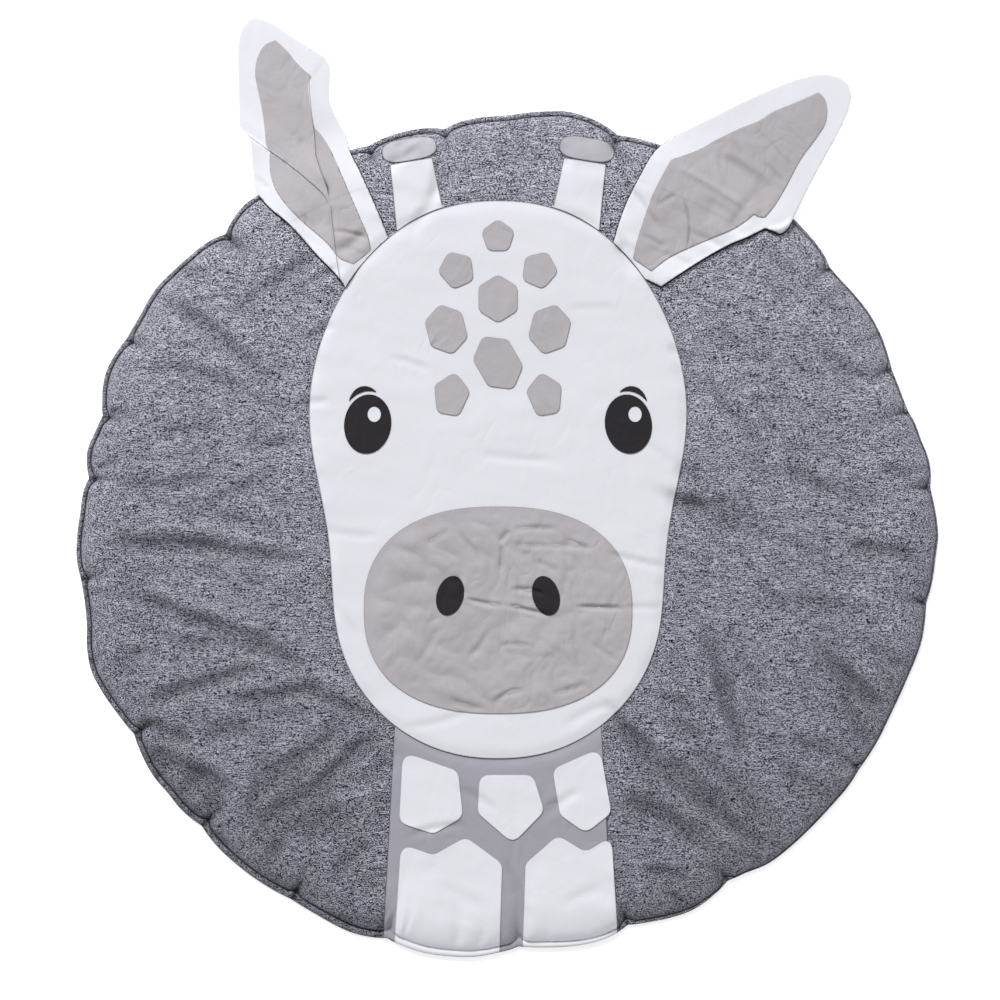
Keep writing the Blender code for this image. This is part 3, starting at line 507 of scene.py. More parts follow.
def outline_area(outline: Array) -> float:
    """Area of a polygon, negative if it runs clockwise."""
    x, y = outline.T
    return float(np.sum(x * np.roll(y, -1) - np.roll(x, -1) * y)) / 2


def box_middle(outline: Array) -> tuple[float, float]:
    """The middle of an outline's box."""
    return tuple((outline.max(0) + outline.min(0)) / 2)


def even_outline(outline: Array, count: int) -> Array:
    """An outline as evenly spaced points, counter-clockwise."""
    if outline_area(outline) < 0:
        outline = outline[::-1]
    closed = np.vstack((outline, outline[:1]))
    run = np.concatenate(((0.0,), np.cumsum(np.linalg.norm(np.diff(closed, axis=0), axis=1))))
    place = np.arange(count) * run[-1] / count
    return np.stack((np.interp(place, run, closed[:, 0]), np.interp(place, run, closed[:, 1])), 1)


def knot_outline(knots: tuple[Knot, ...], steps: int = 10) -> Array:
    """A closed curve through knots, in metres.

    Each part is a cubic between two knots. A smooth knot's slope is half the step between its
    neighbours; at a sharp knot each side takes the slope of its own step.

    Args:
        knots: The knots.
        steps: Parts of each cubic.

    Returns:
        Points, shape (knots * steps, 2).
    """
    place = np.stack(on_chart(*np.array([(k.x, k.y) for k in knots]).T), 1)
    sharp = np.array([k.sharp for k in knots])[:, None]
    ahead = np.roll(place, -1, 0) - place
    behind = np.roll(ahead, 1, 0)
    long_ahead, long_behind = (np.linalg.norm(v, axis=1)[:, None] for v in (ahead, behind))
    heading = (ahead / long_ahead + behind / long_behind) / 2
    leave = np.where(sharp, ahead, heading * long_ahead)
    arrive = np.roll(np.where(sharp, behind, heading * long_behind), -1, 0)
    t = (np.arange(steps) / steps)[None, :, None]
    parts = (value[:, None] for value in (place, np.roll(place, -1, 0), leave, arrive))
    return cubic(t, *parts).reshape(-1, 2)


@dataclass
class Border:
    """A closed outline that can be seen all round from its middle, as a radius by angle."""

    outline: Array
    middle: tuple[float, float]

    def __post_init__(self) -> None:
        """Sorts the outline's radius by its angle."""
        away = self.outline - np.array(self.middle)
        angle = np.arctan2(away[:, 1], away[:, 0])
        order = np.argsort(angle)
        self.angle, self.radius = angle[order], np.linalg.norm(away, axis=1)[order]

    def outside(self, x: Array, y: Array) -> Array:
        """How far plan points lie outside the outline along rays from its middle."""
        away_x, away_y = x - self.middle[0], y - self.middle[1]
        reach = np.interp(np.arctan2(away_y, away_x), self.angle, self.radius, period=2 * np.pi)
        return np.hypot(away_x, away_y) - reach


def inside(outline: Array, points: Array) -> Array:
    """Whether plan points lie in a polygon, by counting the sides that a ray to the right crosses.

    Args:
        outline: Polygon points, shape (sides, 2).
        points: Points, shape (count, 2).

    Returns:
        One truth for each point.
    """
    x0, y0 = outline.T
    x1, y1 = np.roll(outline, -1, 0).T
    x, y = points[:, :1], points[:, 1:]
    spans = (y0 > y) != (y1 > y)
    rise = np.where(y1 == y0, 1e-12, y1 - y0)
    crosses = spans & (x < x0 + (y - y0) * (x1 - x0) / rise)
    return crosses.sum(1) % 2 == 1


def nearest_on(outline: Array, points: Array) -> Array:
    """The nearest place of a polygon's edge to each plan point.

    Args:
        outline: Its points, shape (sides, 2).
        points: Points, shape (count, 2).

    Returns:
        The nearest places, shape (count, 2).
    """
    run = np.roll(outline, -1, 0) - outline
    away = points[:, None] - outline[None]
    share = np.clip((away * run).sum(2) / np.maximum((run * run).sum(1), 1e-18), 0, 1)
    gap = away - share[..., None] * run
    best = np.argmin((gap * gap).sum(2), 1)
    return outline[best] + share[np.arange(len(points)), best, None] * run[best]


def ended_at(outline: Array, plan: Array) -> tuple[Array, Array, Array]:
    """A grid of plan points ended at an outline: corners outside of kept cells move to its edge.

    Args:
        outline: The edge, shape (sides, 2).
        plan: The grid, shape (rows, columns, 2).

    Returns:
        The grid's points, which cells are kept, and which points were moved.
    """
    held = inside(outline, plan.reshape(-1, 2)).reshape(plan.shape[:2])
    kept = held[:-1, :-1] | held[1:, :-1] | held[1:, 1:] | held[:-1, 1:]
    used = np.zeros_like(held)
    for i in (0, 1):
        for j in (0, 1):
            used[i:used.shape[0] - 1 + i, j:used.shape[1] - 1 + j] |= kept
    moved = used & ~held
    plan = plan.copy()
    plan[moved] = nearest_on(outline, plan[moved])
    return plan, kept, moved


# The design's outlines ----


@dataclass
class Giraffe:
    """Outlines of the head, neck, horns and what is sewn on them, in plan."""

    axis_x: float = -0.0126
    head_top: float = 0.350
    head_bottom: float = -0.2334
    head_half_width: float = 0.207
    head_roundness: float = 2.2
    waist: tuple[float, float, float] = (-0.010, 0.110, 0.13)
    muzzle_y: float = -0.078
    muzzle_half_size: tuple[float, float] = (0.140, 0.108)
    muzzle_roundness: float = 2.4
    nostril: tuple[float, float] = (0.050, -0.063)
    nostril_half_size: tuple[float, float] = (0.014, 0.021)
    nostril_turn: float = 16.0
    eye: tuple[float, float] = (0.136, 0.116)
    eye_half_size: tuple[float, float] = (0.0245, 0.0310)
    eye_turn: float = 8.0
    light_offset: tuple[float, float] = (0.007, 0.010)
    light_half_size: tuple[float, float] = (0.0070, 0.0080)
    lash_gap: float = 0.0035
    lash_width: float = 0.0060
    lash_sweep: tuple[float, float] = (38.0, 98.0)
    spot_corner: float = 0.0085
    patch_corner: float = 0.012
    patch_end: float = 0.0006
    neck_half_widths: tuple[float, float] = (0.1080, 0.1230)
    neck_span: tuple[float, float] = (-0.190, -0.470)
    horn_side: float = 0.080
    horn_turn: float = 9.0
    horn_half_widths: tuple[float, float] = (0.0263, 0.0223)
    horn_span: tuple[float, float] = (0.322, 0.392)
    horn_tip_half_size: tuple[float, float] = (0.0290, 0.0125)
    horn_tip_roundness: float = 2.8
    gap: float = 0.0003

    def head(self) -> Array:
        """The head's edge: a rounded oval drawn in at a waist by a bell curve of its height."""
        top, bottom = self.head_top, self.head_bottom
        middle, half = (top + bottom) / 2, (top - bottom) / 2
        oval = squircle((0, middle), (self.head_half_width, half), self.head_roundness, 0, 720)
        at, run, depth = self.waist
        oval[:, 0] *= 1 - depth * bell(oval[:, 1] - at, run)
        return oval + np.array((self.axis_x, 0.0))

    def head_middle(self) -> tuple[float, float]:
        """A point from which the whole head's edge is seen."""
        return self.axis_x, 0.06

    def muzzle_middle(self) -> tuple[float, float]:
        """The middle of the muzzle."""
        return self.axis_x, self.muzzle_y

    def muzzle(self) -> Array:
        """The muzzle, a squarish oval."""
        return squircle(self.muzzle_middle(), self.muzzle_half_size, self.muzzle_roundness, 0, 480)

    def nostril_middle(self, side: int) -> tuple[float, float]:
        """The middle of one nostril."""
        return self.axis_x + side * self.nostril[0], self.nostril[1]

    def nostril_outline(self, side: int) -> Array:
        """One nostril, an oval that leans outwards."""
        turn = side * self.nostril_turn
        return squircle(self.nostril_middle(side), self.nostril_half_size, 2.0, turn, 160)

    def eye_middle(self, side: int) -> tuple[float, float]:
        """The middle of one eye."""
        return self.axis_x + side * self.eye[0], self.eye[1]

    def eye_outline(self, side: int) -> Array:
        """One eye, an upright oval."""
        return squircle(self.eye_middle(side), self.eye_half_size, 2.0, side * self.eye_turn, 200)

    def light_middle(self, side: int) -> tuple[float, float]:
        """The middle of the light in one eye."""
        x, y = self.eye_middle(side)
        return x + self.light_offset[0], y + self.light_offset[1]

    def eye_light(self, side: int) -> Array:
        """The light in one eye."""
        return squircle(self.light_middle(side), self.light_half_size, 2.0, 0, 96)

    def lash(self, side: int, count: int) -> tuple[Array, Array]:
        """One lash: its two long edges, along an arc outside the eye's, as wide as a sine.

        Args:
            side: -1 on the left, 1 on the right.
            count: Points along it.

        Returns:
            The inner and the outer edge, each of shape (count, 2).
        """
        angle = np.radians(np.linspace(*self.lash_sweep, count))
        ray = rays(angle)
        inner = (np.array(self.eye_half_size) + self.lash_gap) * ray
        wide = self.lash_width * np.sin(np.pi * np.linspace(0.04, 0.96, count))
        outer = inner + wide[:, None] * ray
        mirror = np.array((side, 1.0))
        middle, turn = np.array(self.eye_middle(side)), side * self.eye_turn
        return tuple(turned(edge * mirror, turn) + middle for edge in (inner, outer))

    def spot(self, row: Spot) -> Array:
        """One spot: a rounded polygon inside an oval."""
        angle = np.arange(row.corners) * 2 * np.pi / row.corners + np.pi / 2
        flat = np.array((row.half_width, row.half_height)) * rays(angle)
        places = turned(flat, row.turn) + np.array((self.axis_x + row.side, row.y))
        return rounded(places, np.full(row.corners, self.spot_corner))

    def neck(self, surface: "MatFront") -> Array:
        """The neck: along the chin, straight sides, and the mat's edge below."""
        (top, foot), (high, low) = self.neck_half_widths, self.neck_span
        side = np.linspace(-1, 1, 160)
        x_foot = self.axis_x + side * foot
        rim = np.stack((x_foot, surface.edge_below(x_foot)), 1)
        x_top = self.axis_x + side[::-1] * top
        chin = np.stack((x_top, self.head_y(x_top, -1) - self.gap), 1)
        scale = (rim[0, 1] - high) / (low - high)
        rim[:, 0] = self.axis_x + (rim[:, 0] - self.axis_x) * (top + (foot - top) * scale) / foot
        return np.vstack((rim, chin))

    def head_y(self, x: Array, side: int) -> Array:
        """Height in plan at x of the head's lower edge, side -1, or its upper one, side 1."""
        edge = self.head()
        part = edge[edge[:, 1] * side > max(0.1 * side, 0.0)]
        order = np.argsort(part[:, 0])
        return np.interp(x, part[order, 0], part[order, 1])

    def horn(self, side: int) -> Array:
        """One horn: a stem that leans outwards, from the head's edge."""
        low, high = self.horn_half_widths
        rise = self.horn_span[1] - self.horn_span[0]
        flat = np.array(((-low, 0.0), (low, 0.0), (high, rise), (-high, rise)))
        foot = np.array((self.axis_x + side * self.horn_side, self.horn_span[0]))
        outline = even_outline(turned(flat, -side * self.horn_turn) + foot, 240)
        outline[:, 1] = np.maximum(outline[:, 1], self.head_y(outline[:, 0], 1) + self.gap)
        return outline

    def horn_tip(self, side: int) -> Array:
        """The rounded end of a horn."""
        rise = self.horn_span[1] - self.horn_span[0] + self.gap + self.horn_tip_half_size[1]
        foot = np.array((self.axis_x + side * self.horn_side, self.horn_span[0]))
        middle = turned(np.array(((0.0, rise),)), -side * self.horn_turn)[0] + foot
        return squircle(tuple(middle), self.horn_tip_half_size, self.horn_tip_roundness,
                        -side * self.horn_turn, 240)

    def patch(self, index: int, surface: "MatFront") -> Array:
        """One patch of the neck, ended at the mat's edge where it runs past it."""
        corners = np.array(NECK_PATCHES[index])
        outline = even_outline(rounded(corners, np.full(len(corners), self.patch_corner)), 320)
        above = outline[:, 1] > surface.edge_below(outline[:, 0]) + self.patch_end
        if above.all():
            return outline
        first = np.flatnonzero(above & ~np.roll(above, 1))[0]
        kept = np.roll(outline, -first, 0)[:above.sum()]
        along = np.linspace(kept[-1, 0], kept[0, 0], 80)[1:-1]
        return np.vstack((kept, np.stack((along, surface.edge_below(along) + self.patch_end), 1)))


# The mat's front ----


SWELL = Waves(0.00075, 5, 0.070, 0.190)
LOOSE = Waves(0.00030, 23, 0.024, 0.060)
CRUMPLES = Waves(0.00080, 53, 0.034, 0.085)
SMALL_CRUMPLES = Waves(0.00030, 59, 0.017, 0.036)
# Uneven strength of the painted shade along the lower rim
UNEVEN_DUSK = Waves(0.4, 41, 0.03, 0.09)


@dataclass(frozen=True)
class Dark:
    """Painted shade on the front, 1 for black: in notches, puckers and crease bottoms, beside the
    head's seam and along the lower rim, and darker downwards for the fall of the light.

    pucker is for each metre of depth and crease for each millimetre, up to crease_most in all;
    dusk is the painted shade along the lower rim, and the rest darkens downwards from the middle.
    """

    notch: float = 0.55
    notch_run: float = 0.009
    pucker: float = 90.0
    crease: float = 0.075
    crease_most: float = 0.30
    head_seam: float = 0.10
    dusk: tuple[float, float] = (0.04, 0.20)
    dusk_run: float = 0.008
    middle: float = 0.165
    downwards: float = 0.42
    top: float = 0.085
    most: float = 0.95


@dataclass
class MatFront:
    """Height of the mat's front above each plan point, with its seam, puckers and creases.

    A notch widens the flange, pinches the front and raises it beside the pinch; each is given by
    a height or width and by how far it reaches, in degrees along the edge or metres inwards.
    """

    welt_low: float = 0.0024
    welt_high: float = 0.0050
    groove: float = 0.0022
    shoulder_run: float = 0.045
    shoulder_top: float = 0.0170
    crown_run: float = 0.250
    crown_top: float = 0.0210
    sole_run: float = 0.030
    small_puckers: int = 84
    loose_creases: int = 300
    loose_reach: float = 415.0
    loose_stray: float = 0.22
    main_pull: tuple[float, float] = (1.5, 1.3)
    notch_flange: tuple[float, float] = (0.0030, 0.75)
    notch_pinch: tuple[float, float] = (0.0042, 0.020)
    notch_swell: tuple[float, float] = (0.0014, 0.034)
    notch_opening: tuple[float, float] = (0.60, 24.0)
    sharp_slope: float = 1.5
    cotton_fade: float = 0.020
    seed: int = 11
    seam_depth: float = 0.0015
    seam_width: float = 0.0060
    waves_at_rim: float = 0.45
    cotton_calm: float = 0.65
    # The front's painted shade
    dark: Dark = Dark()
    design: Giraffe = field(default_factory=Giraffe)

    def __post_init__(self) -> None:
        """Draws the small puckers and creases, and keeps the edges of rim, head and muzzle."""
        draw = np.random.default_rng(self.seed)
        count = self.small_puckers
        self.small = np.stack((
            np.linspace(0, 360, count, endpoint=False) + draw.uniform(-2.0, 2.0, count),
            draw.uniform(0.0002, 0.0022, count),
            draw.uniform(0.28, 0.80, count),
            draw.uniform(0.008, 0.045, count),
            draw.uniform(-0.05, 0.05, count),
        ), 1)
        self.head = Border(self.design.head(), self.design.head_middle())
        self.muzzle = Border(self.design.muzzle(), self.design.muzzle_middle())
        deeper, wider = self.main_pull
        main = [row._replace(depth=row.depth * deeper, width=row.width * wider)
                for row in JERSEY_CREASES]
        self.creases = main + self.draw_creases(draw)
        self.notches = [row.angle for row in RIM if row.notch]
        table = np.array(RIM)
        self.rim_angle, self.rim_radius = table[:, 0], table[:, 1] * UNIT
        step = np.mod(np.roll(self.rim_angle, -1) - self.rim_angle, 360.0)
        ahead = (np.roll(self.rim_radius, -1) - self.rim_radius) / step
        behind = np.roll(ahead, 1)
        sharp = table[:, 2] > 0
        even = (ahead + behind) / 2
        self.leave = np.where(sharp, ahead * self.sharp_slope, even) * step
        self.arrive = np.roll(np.where(sharp, behind * self.sharp_slope, even), -1) * step

    def draw_creases(self, draw: np.random.Generator) -> list[Crease]:
        """Smaller creases of the bare jersey, that run much as the main ones near them do.

        Args:
            draw: The random numbers.

        Returns:
            The creases.
        """
        table = np.array([row[:4] for row in JERSEY_CREASES])
        run = table[:, 2:] - table[:, :2]
        twice = 2 * np.arctan2(run[:, 1], run[:, 0])
        count = self.loose_creases
        turn = draw.uniform(0, 2 * np.pi, count)
        reach = self.loose_reach * np.sqrt(draw.uniform(0.10, 1.0, count))
        place = np.array(CHART_MIDDLE) + reach[:, None] * rays(turn)
        away = place[:, None] - (table[:, 2:] + table[:, :2])[None] / 2
        near = ((away * away).sum(2) + 400.0) ** -2.0
        heading = np.arctan2((near * np.sin(twice)).sum(1), (near * np.cos(twice)).sum(1)) / 2
        heading += draw.normal(0.0, self.loose_stray, count)
        half = draw.uniform(13, 44, count)[:, None] * rays(heading)
        depth, width = draw.uniform(0.4, 2.0, count) ** 1.3, draw.uniform(4.5, 11.0, count)
        shape = np.stack((draw.uniform(-4, 4, count), depth, width, np.full(count, 0.8),
                          draw.uniform(-0.2, 0.6, count)), 1)
        rows = np.hstack((place - half, place + half, shape))
        bare = self.cotton_share(*on_chart(*place.T)) < 0.1
        return [Crease(*row) for row in rows[bare]]

    def flange(self, degrees: Array) -> Array:
        """Width of the stitched edge by angle, wider at a notch, where the filling is nipped."""
        wide = eased_table(FLANGE_WIDTH, degrees)
        more, spread = self.notch_flange
        for notch in self.notches:
            wide = wide + more * bell(turn_between(degrees, notch), spread)
        return wide

    def radius(self, angle: Array) -> Array:
        """The mat's edge by angle: cubics between the rim's points, broken at its notches."""
        degrees = np.mod(np.degrees(angle), 360.0)
        at = np.searchsorted(self.rim_angle, degrees, side="right") - 1
        following = (at + 1) % len(self.rim_angle)
        span = np.mod(self.rim_angle[following] - self.rim_angle[at], 360.0)
        return cubic((degrees - self.rim_angle[at]) / span, self.rim_radius[at],
                     self.rim_radius[following], self.leave[at], self.arrive[at])

    def edge_below(self, x: Array) -> Array:
        """The mat's lower edge in plan at x, found by stepping y to the edge's radius."""
        y = np.full_like(x, -0.44)
        for _ in range(12):
            reach = self.radius(np.arctan2(y, x))
            y = -np.sqrt(np.maximum(reach**2 - x**2, 0.0))
        return y

    def inset(self, x: Array, y: Array) -> Array:
        """How far plan points lie inside the mat's edge."""
        return self.radius(np.arctan2(y, x)) - np.hypot(x, y)

    def filled(self, x: Array, y: Array) -> tuple[Array, Array, Array]:
        """Angles in degrees, how far inside the flange plan points lie, and the flange's width."""
        degrees = np.degrees(np.arctan2(y, x))
        wide = self.flange(degrees)
        return degrees, self.inset(x, y) - wide, wide

    def height(self, x: Array, y: Array) -> Array:
        """The front: a half-round welt, a groove, an elliptic shoulder, a soft crown, and relief.

        Args:
            x: Plan coordinates.
            y: Plan coordinates.

        Returns:
            Height of the cloth there.
        """
        degrees, body, wide = self.filled(x, y)
        across = np.clip(2 * (body + wide) / wide - 1, -1, 1)
        welt = self.welt_low + (self.welt_high - self.welt_low) * np.sqrt(1 - across**2)
        rise = np.clip(body / self.shoulder_run, 0, 1)
        shoulder = (self.shoulder_top - self.groove) * np.sqrt(1 - (1 - rise) ** 2)
        crown = (self.crown_top - self.shoulder_top) * ease(body / self.crown_run)
        relief = self.relief(x, y, degrees, body) * ease(body / 0.012)
        filled = shoulder + crown + relief + self.notch_relief(degrees, body)
        return np.where(body < 0, welt, self.groove + np.maximum(filled, 0.0))

    def notch_relief(self, degrees: Array, body: Array) -> Array:
        """The pinch at each notch of the edge: a wedge that closes inwards, fuller beside it."""
        deep = np.maximum(body, 0.0)
        (pinch, pinch_run), (swell, swell_run) = self.notch_pinch, self.notch_swell
        relief = np.zeros_like(degrees)
        for angle in self.notches:
            opening = self.notch_opening[0] + self.notch_opening[1] * deep
            off = np.abs(turn_between(degrees, angle)) / opening
            relief -= pinch * np.exp(-off - deep / pinch_run)
            relief += swell * np.exp(-((off - 2.2) / 1.2) ** 2 - deep / swell_run)
        return relief * ease(deep / 0.0015)

    def puckers(self, degrees: Array, deep: Array) -> Iterable[tuple[float, Array, Array]]:
        """Each small pucker's depth, and how far in and off its line places are over its sizes."""
        for angle, depth, spread, run, lean in self.small:
            off = (turn_between(degrees, angle) - lean * 500 * deep) / (spread * (1 + 25 * deep))
            yield depth, deep / run, off

    def relief(self, x: Array, y: Array, degrees: Array, body: Array) -> Array:
        """Everything that strays from the smooth front: puckers, creases, seams and loose waves."""
        relief = crease_relief(self.creases, x, y) + crease_relief(COTTON_CREASES, x, y)
        deep = np.maximum(body, 0.0)
        for depth, along, off in self.puckers(degrees, deep):
            relief -= depth * np.exp(-off * off - along**2) * (1 - 0.9 * off * off)
        bare = 1 - self.cotton_calm * self.cotton_share(x, y)
        loose = SWELL.at(x, y * 1.3) + LOOSE.at(0.6 * x, 1.5 * y)
        at_rim = self.waves_at_rim
        relief += loose * (1 - at_rim + at_rim * np.exp(-deep / 0.12)) * bare
        crumpled = ease(-self.muzzle.outside(x, y) / 0.020)
        facets = CRUMPLES.ridged(x + 0.4 * y, 0.8 * y, 0.01)
        relief += crumpled * (facets + SMALL_CRUMPLES.ridged(x, y, 0.02))
        return relief - self.seam_depth * bell(self.head.outside(x, y), self.seam_width)

    def cotton_share(self, x: Array, y: Array) -> Array:
        """1 where stiffer cotton lies over the jersey, 0 elsewhere, eased over a short way."""
        head = ease(-self.head.outside(x, y) / self.cotton_fade)
        beside = self.design.neck_half_widths[1] - np.abs(x - self.design.axis_x)
        neck = ease(beside / self.cotton_fade) * ease((-0.15 - y) / self.cotton_fade)
        return np.maximum(head, neck)

    def shade(self, x: Array, y: Array) -> Array:
        """Painted shade of the front: groove, flange, notches, creases, lower rim and lower half.

        Args:
            x: Plan coordinates.
            y: Plan coordinates.

        Returns:
            0 for no painted shade to 1 for black.
        """
        degrees, body, _ = self.filled(x, y)
        deep, dark = np.maximum(body, 0.0), self.dark
        shade = eased_table(GROOVE_SHADE, degrees) * bell(body - 0.0001, 0.0006)
        shade += np.where(body < 0, eased_table(FLANGE_SHADE, degrees), 0.0)
        # Painted shade along the lower rim, uneven, fading out to the right
        least, more = dark.dusk
        dusk = (least + more * ease((-y - 0.10) / 0.25)) * (0.75 + UNEVEN_DUSK.at(x, y))
        dusk = dusk * ease((0.30 - x) / 0.25)
        shade += np.where(body > 0, dusk * np.exp(-deep / dark.dusk_run), 0.0)
        for notch in self.notches:
            off = np.abs(turn_between(degrees, notch)) / (0.30 + 8.0 * deep)
            shade += dark.notch * np.exp(-off * off - deep / dark.notch_run)
        for depth, along, off in self.puckers(degrees, deep):
            shade += dark.pucker * depth * np.exp(-1.6 * off * off - along**2)
        creases = crease_shade(self.creases, x, y, dark.crease)
        shade += dark.crease_most * np.tanh(creases / dark.crease_most)
        shade += dark.head_seam * bell(self.head.outside(x, y) - 0.001, 0.004)
        # Painted shade for the fall of the light: darker downwards, and a little darker at the top
        shade += dark.middle - dark.downwards * y + dark.top * ease((y - 0.30) / 0.12)
        return np.clip(shade, 0.0, dark.most)


# Meshes ----


def placed(name: str, data: ID) -> Object:
    """A new object, linked to the scene."""
    piece = bpy.data.objects.new(name, data)
    bpy.context.scene.collection.objects.link(piece)
    return piece


@dataclass
class Shell:
    """Points, blocks of faces, and the painted light and shade of each point."""

    points: Array
    faces: list[Array]
    worn: Array


def mesh_piece(name: str, shell: Shell, finish: Material, sharp: float = 50.0) -> Object:
    """A smooth-shaded object from a shell, facing outwards, with its painted shading.

    Args:
        name: Its name.
        shell: Its points and faces.
        finish: Its material.
        sharp: Edges sharper than this many degrees stay sharp.

    Returns:
        The object, linked to the scene.
    """
    points, faces = shell.points, shell.faces
    volume = 0.0
    for block in faces:
        for corner in range(1, block.shape[1] - 1):
            a, b, c = points[block[:, 0]], points[block[:, corner]], points[block[:, corner + 1]]
            volume += float((a * np.cross(b, c)).sum())
    if volume < 0:
        faces = [block[:, ::-1] for block in faces]
    loops = np.concatenate([block.ravel() for block in faces]).astype(np.int32)
    totals = np.concatenate([np.full(len(block), block.shape[1]) for block in faces])
    starts = np.concatenate(((0,), np.cumsum(totals)[:-1])).astype(np.int32)
    mesh = bpy.data.meshes.new(name)
    mesh.vertices.add(len(points))
    mesh.vertices.foreach_set("co", points.astype(np.float32).ravel())
    mesh.loops.add(len(loops))
    mesh.loops.foreach_set("vertex_index", loops)
    mesh.polygons.add(len(starts))
    mesh.polygons.foreach_set("loop_start", starts)
    mesh.update(calc_edges=True)
    layer = mesh.attributes.new("worn", "FLOAT", "POINT")
    layer.data.foreach_set("value", shell.worn.astype(np.float32))
    mesh.validate()
    mesh.materials.append(finish)
    mesh.shade_smooth()
    mesh.set_sharp_from_angle(angle=math.radians(sharp))
    LOG.info("%s: %d triangles", name, int((totals - 2).sum()))
    return placed(name, mesh)


def joined_rings(number: Array, following: Array) -> list[Array]:
    """Faces between two rings of point numbers, of equal count or one of twice the other's.

    Args:
        number: The first ring.
        following: The next ring.

    Returns:
        Blocks of faces.
    """
    if len(number) == len(following):
        return [np.stack((number, following, np.roll(following, -1), np.roll(number, -1)), 1)]
    coarse, fine = (number, following) if len(number) < len(following) else (following, number)
    ahead, even, odd = np.roll(coarse, -1), fine[0::2], fine[1::2]
    next_even = np.roll(even, -1)
    tri = np.concatenate((np.stack((coarse, even, odd), 1), np.stack((coarse, odd, ahead), 1),
                          np.stack((ahead, odd, next_even), 1)))
    return [tri if coarse is number else tri[:, ::-1]]


def ring_shell(bands: list[Array], worn: list[Array]) -> Shell:
    """A closed body from rings of points, with a pole at each end.

    Args:
        bands: Bands of rings, each of shape (rings, around, 3); each band's count round is the
            same as its neighbour's, half of it or twice it.
        worn: The painted light and shade of the points, each of shape (rings, around).

    Returns:
        The shell.
    """
    rings, start = [], 0
    for band in bands:
        count = band.shape[0] * band.shape[1]
        rings += list(np.arange(start, start + count).reshape(band.shape[:2]))
        start += count
    faces = {3: [], 4: []}
    for number, following in zip(rings[:-1], rings[1:]):
        for block in joined_rings(number, following):
            faces[block.shape[1]].append(block)
    first, last = rings[0], rings[-1]
    faces[3].append(np.stack((np.full(len(first), start), first, np.roll(first, -1)), 1))
    faces[3].append(np.stack((np.full(len(last), start + 1), np.roll(last, -1), last), 1))
    poles = np.stack((bands[0][0].mean(0), bands[-1][-1].mean(0)))
    points = np.vstack([band.reshape(-1, 3) for band in bands] + [poles])
    flat = np.concatenate([block.ravel() for block in worn] + [np.zeros(2)])
    return Shell(points, [np.vstack(faces[4]), np.vstack(faces[3])], flat)


def joined_shells(shells: list[Shell]) -> Shell:
    """Several bodies as one shell."""
    starts = np.cumsum([0] + [len(shell.points) for shell in shells[:-1]])
    faces = [block + start for shell, start in zip(shells, starts) for block in shell.faces]
    points = np.vstack([shell.points for shell in shells])
    return Shell(points, faces, np.concatenate([shell.worn for shell in shells]))


def masked_shell(upper: Array, lower: Array, kept: Array, worn: Array) -> Shell:
    """A closed sheet from two grids of points, of which only the kept cells are used.

    Args:
        upper: Top points, shape (rows, columns, 3).
        lower: Bottom points, of the same shape.
        kept: Which cells are used, shape (rows - 1, columns - 1).
        worn: The painted light and shade of the points, shape (rows, columns).

    Returns:
        The shell.
    """
    rows, columns = upper.shape[:2]
    total = rows * columns
    number = np.arange(total).reshape(rows, columns)
    cells = np.stack((number[:-1, :-1], number[1:, :-1], number[1:, 1:], number[:-1, 1:]), -1)[kept]
    sides = np.concatenate([cells[:, [i, (i + 1) % 4]] for i in range(4)])
    key = sides.min(1) * total + sides.max(1)
    _, at, uses = np.unique(key, return_index=True, return_counts=True)
    a, b = sides[at[uses == 1]].T
    faces = np.vstack((cells, cells[:, ::-1] + total, np.stack((b, a, a + total, b + total), 1)))
    used, packed = np.unique(faces, return_inverse=True)
    points = np.vstack((upper.reshape(-1, 3), lower.reshape(-1, 3)))[used]
    return Shell(points, [packed.reshape(faces.shape)], np.tile(worn.ravel(), 2)[used])


# Finishes ----


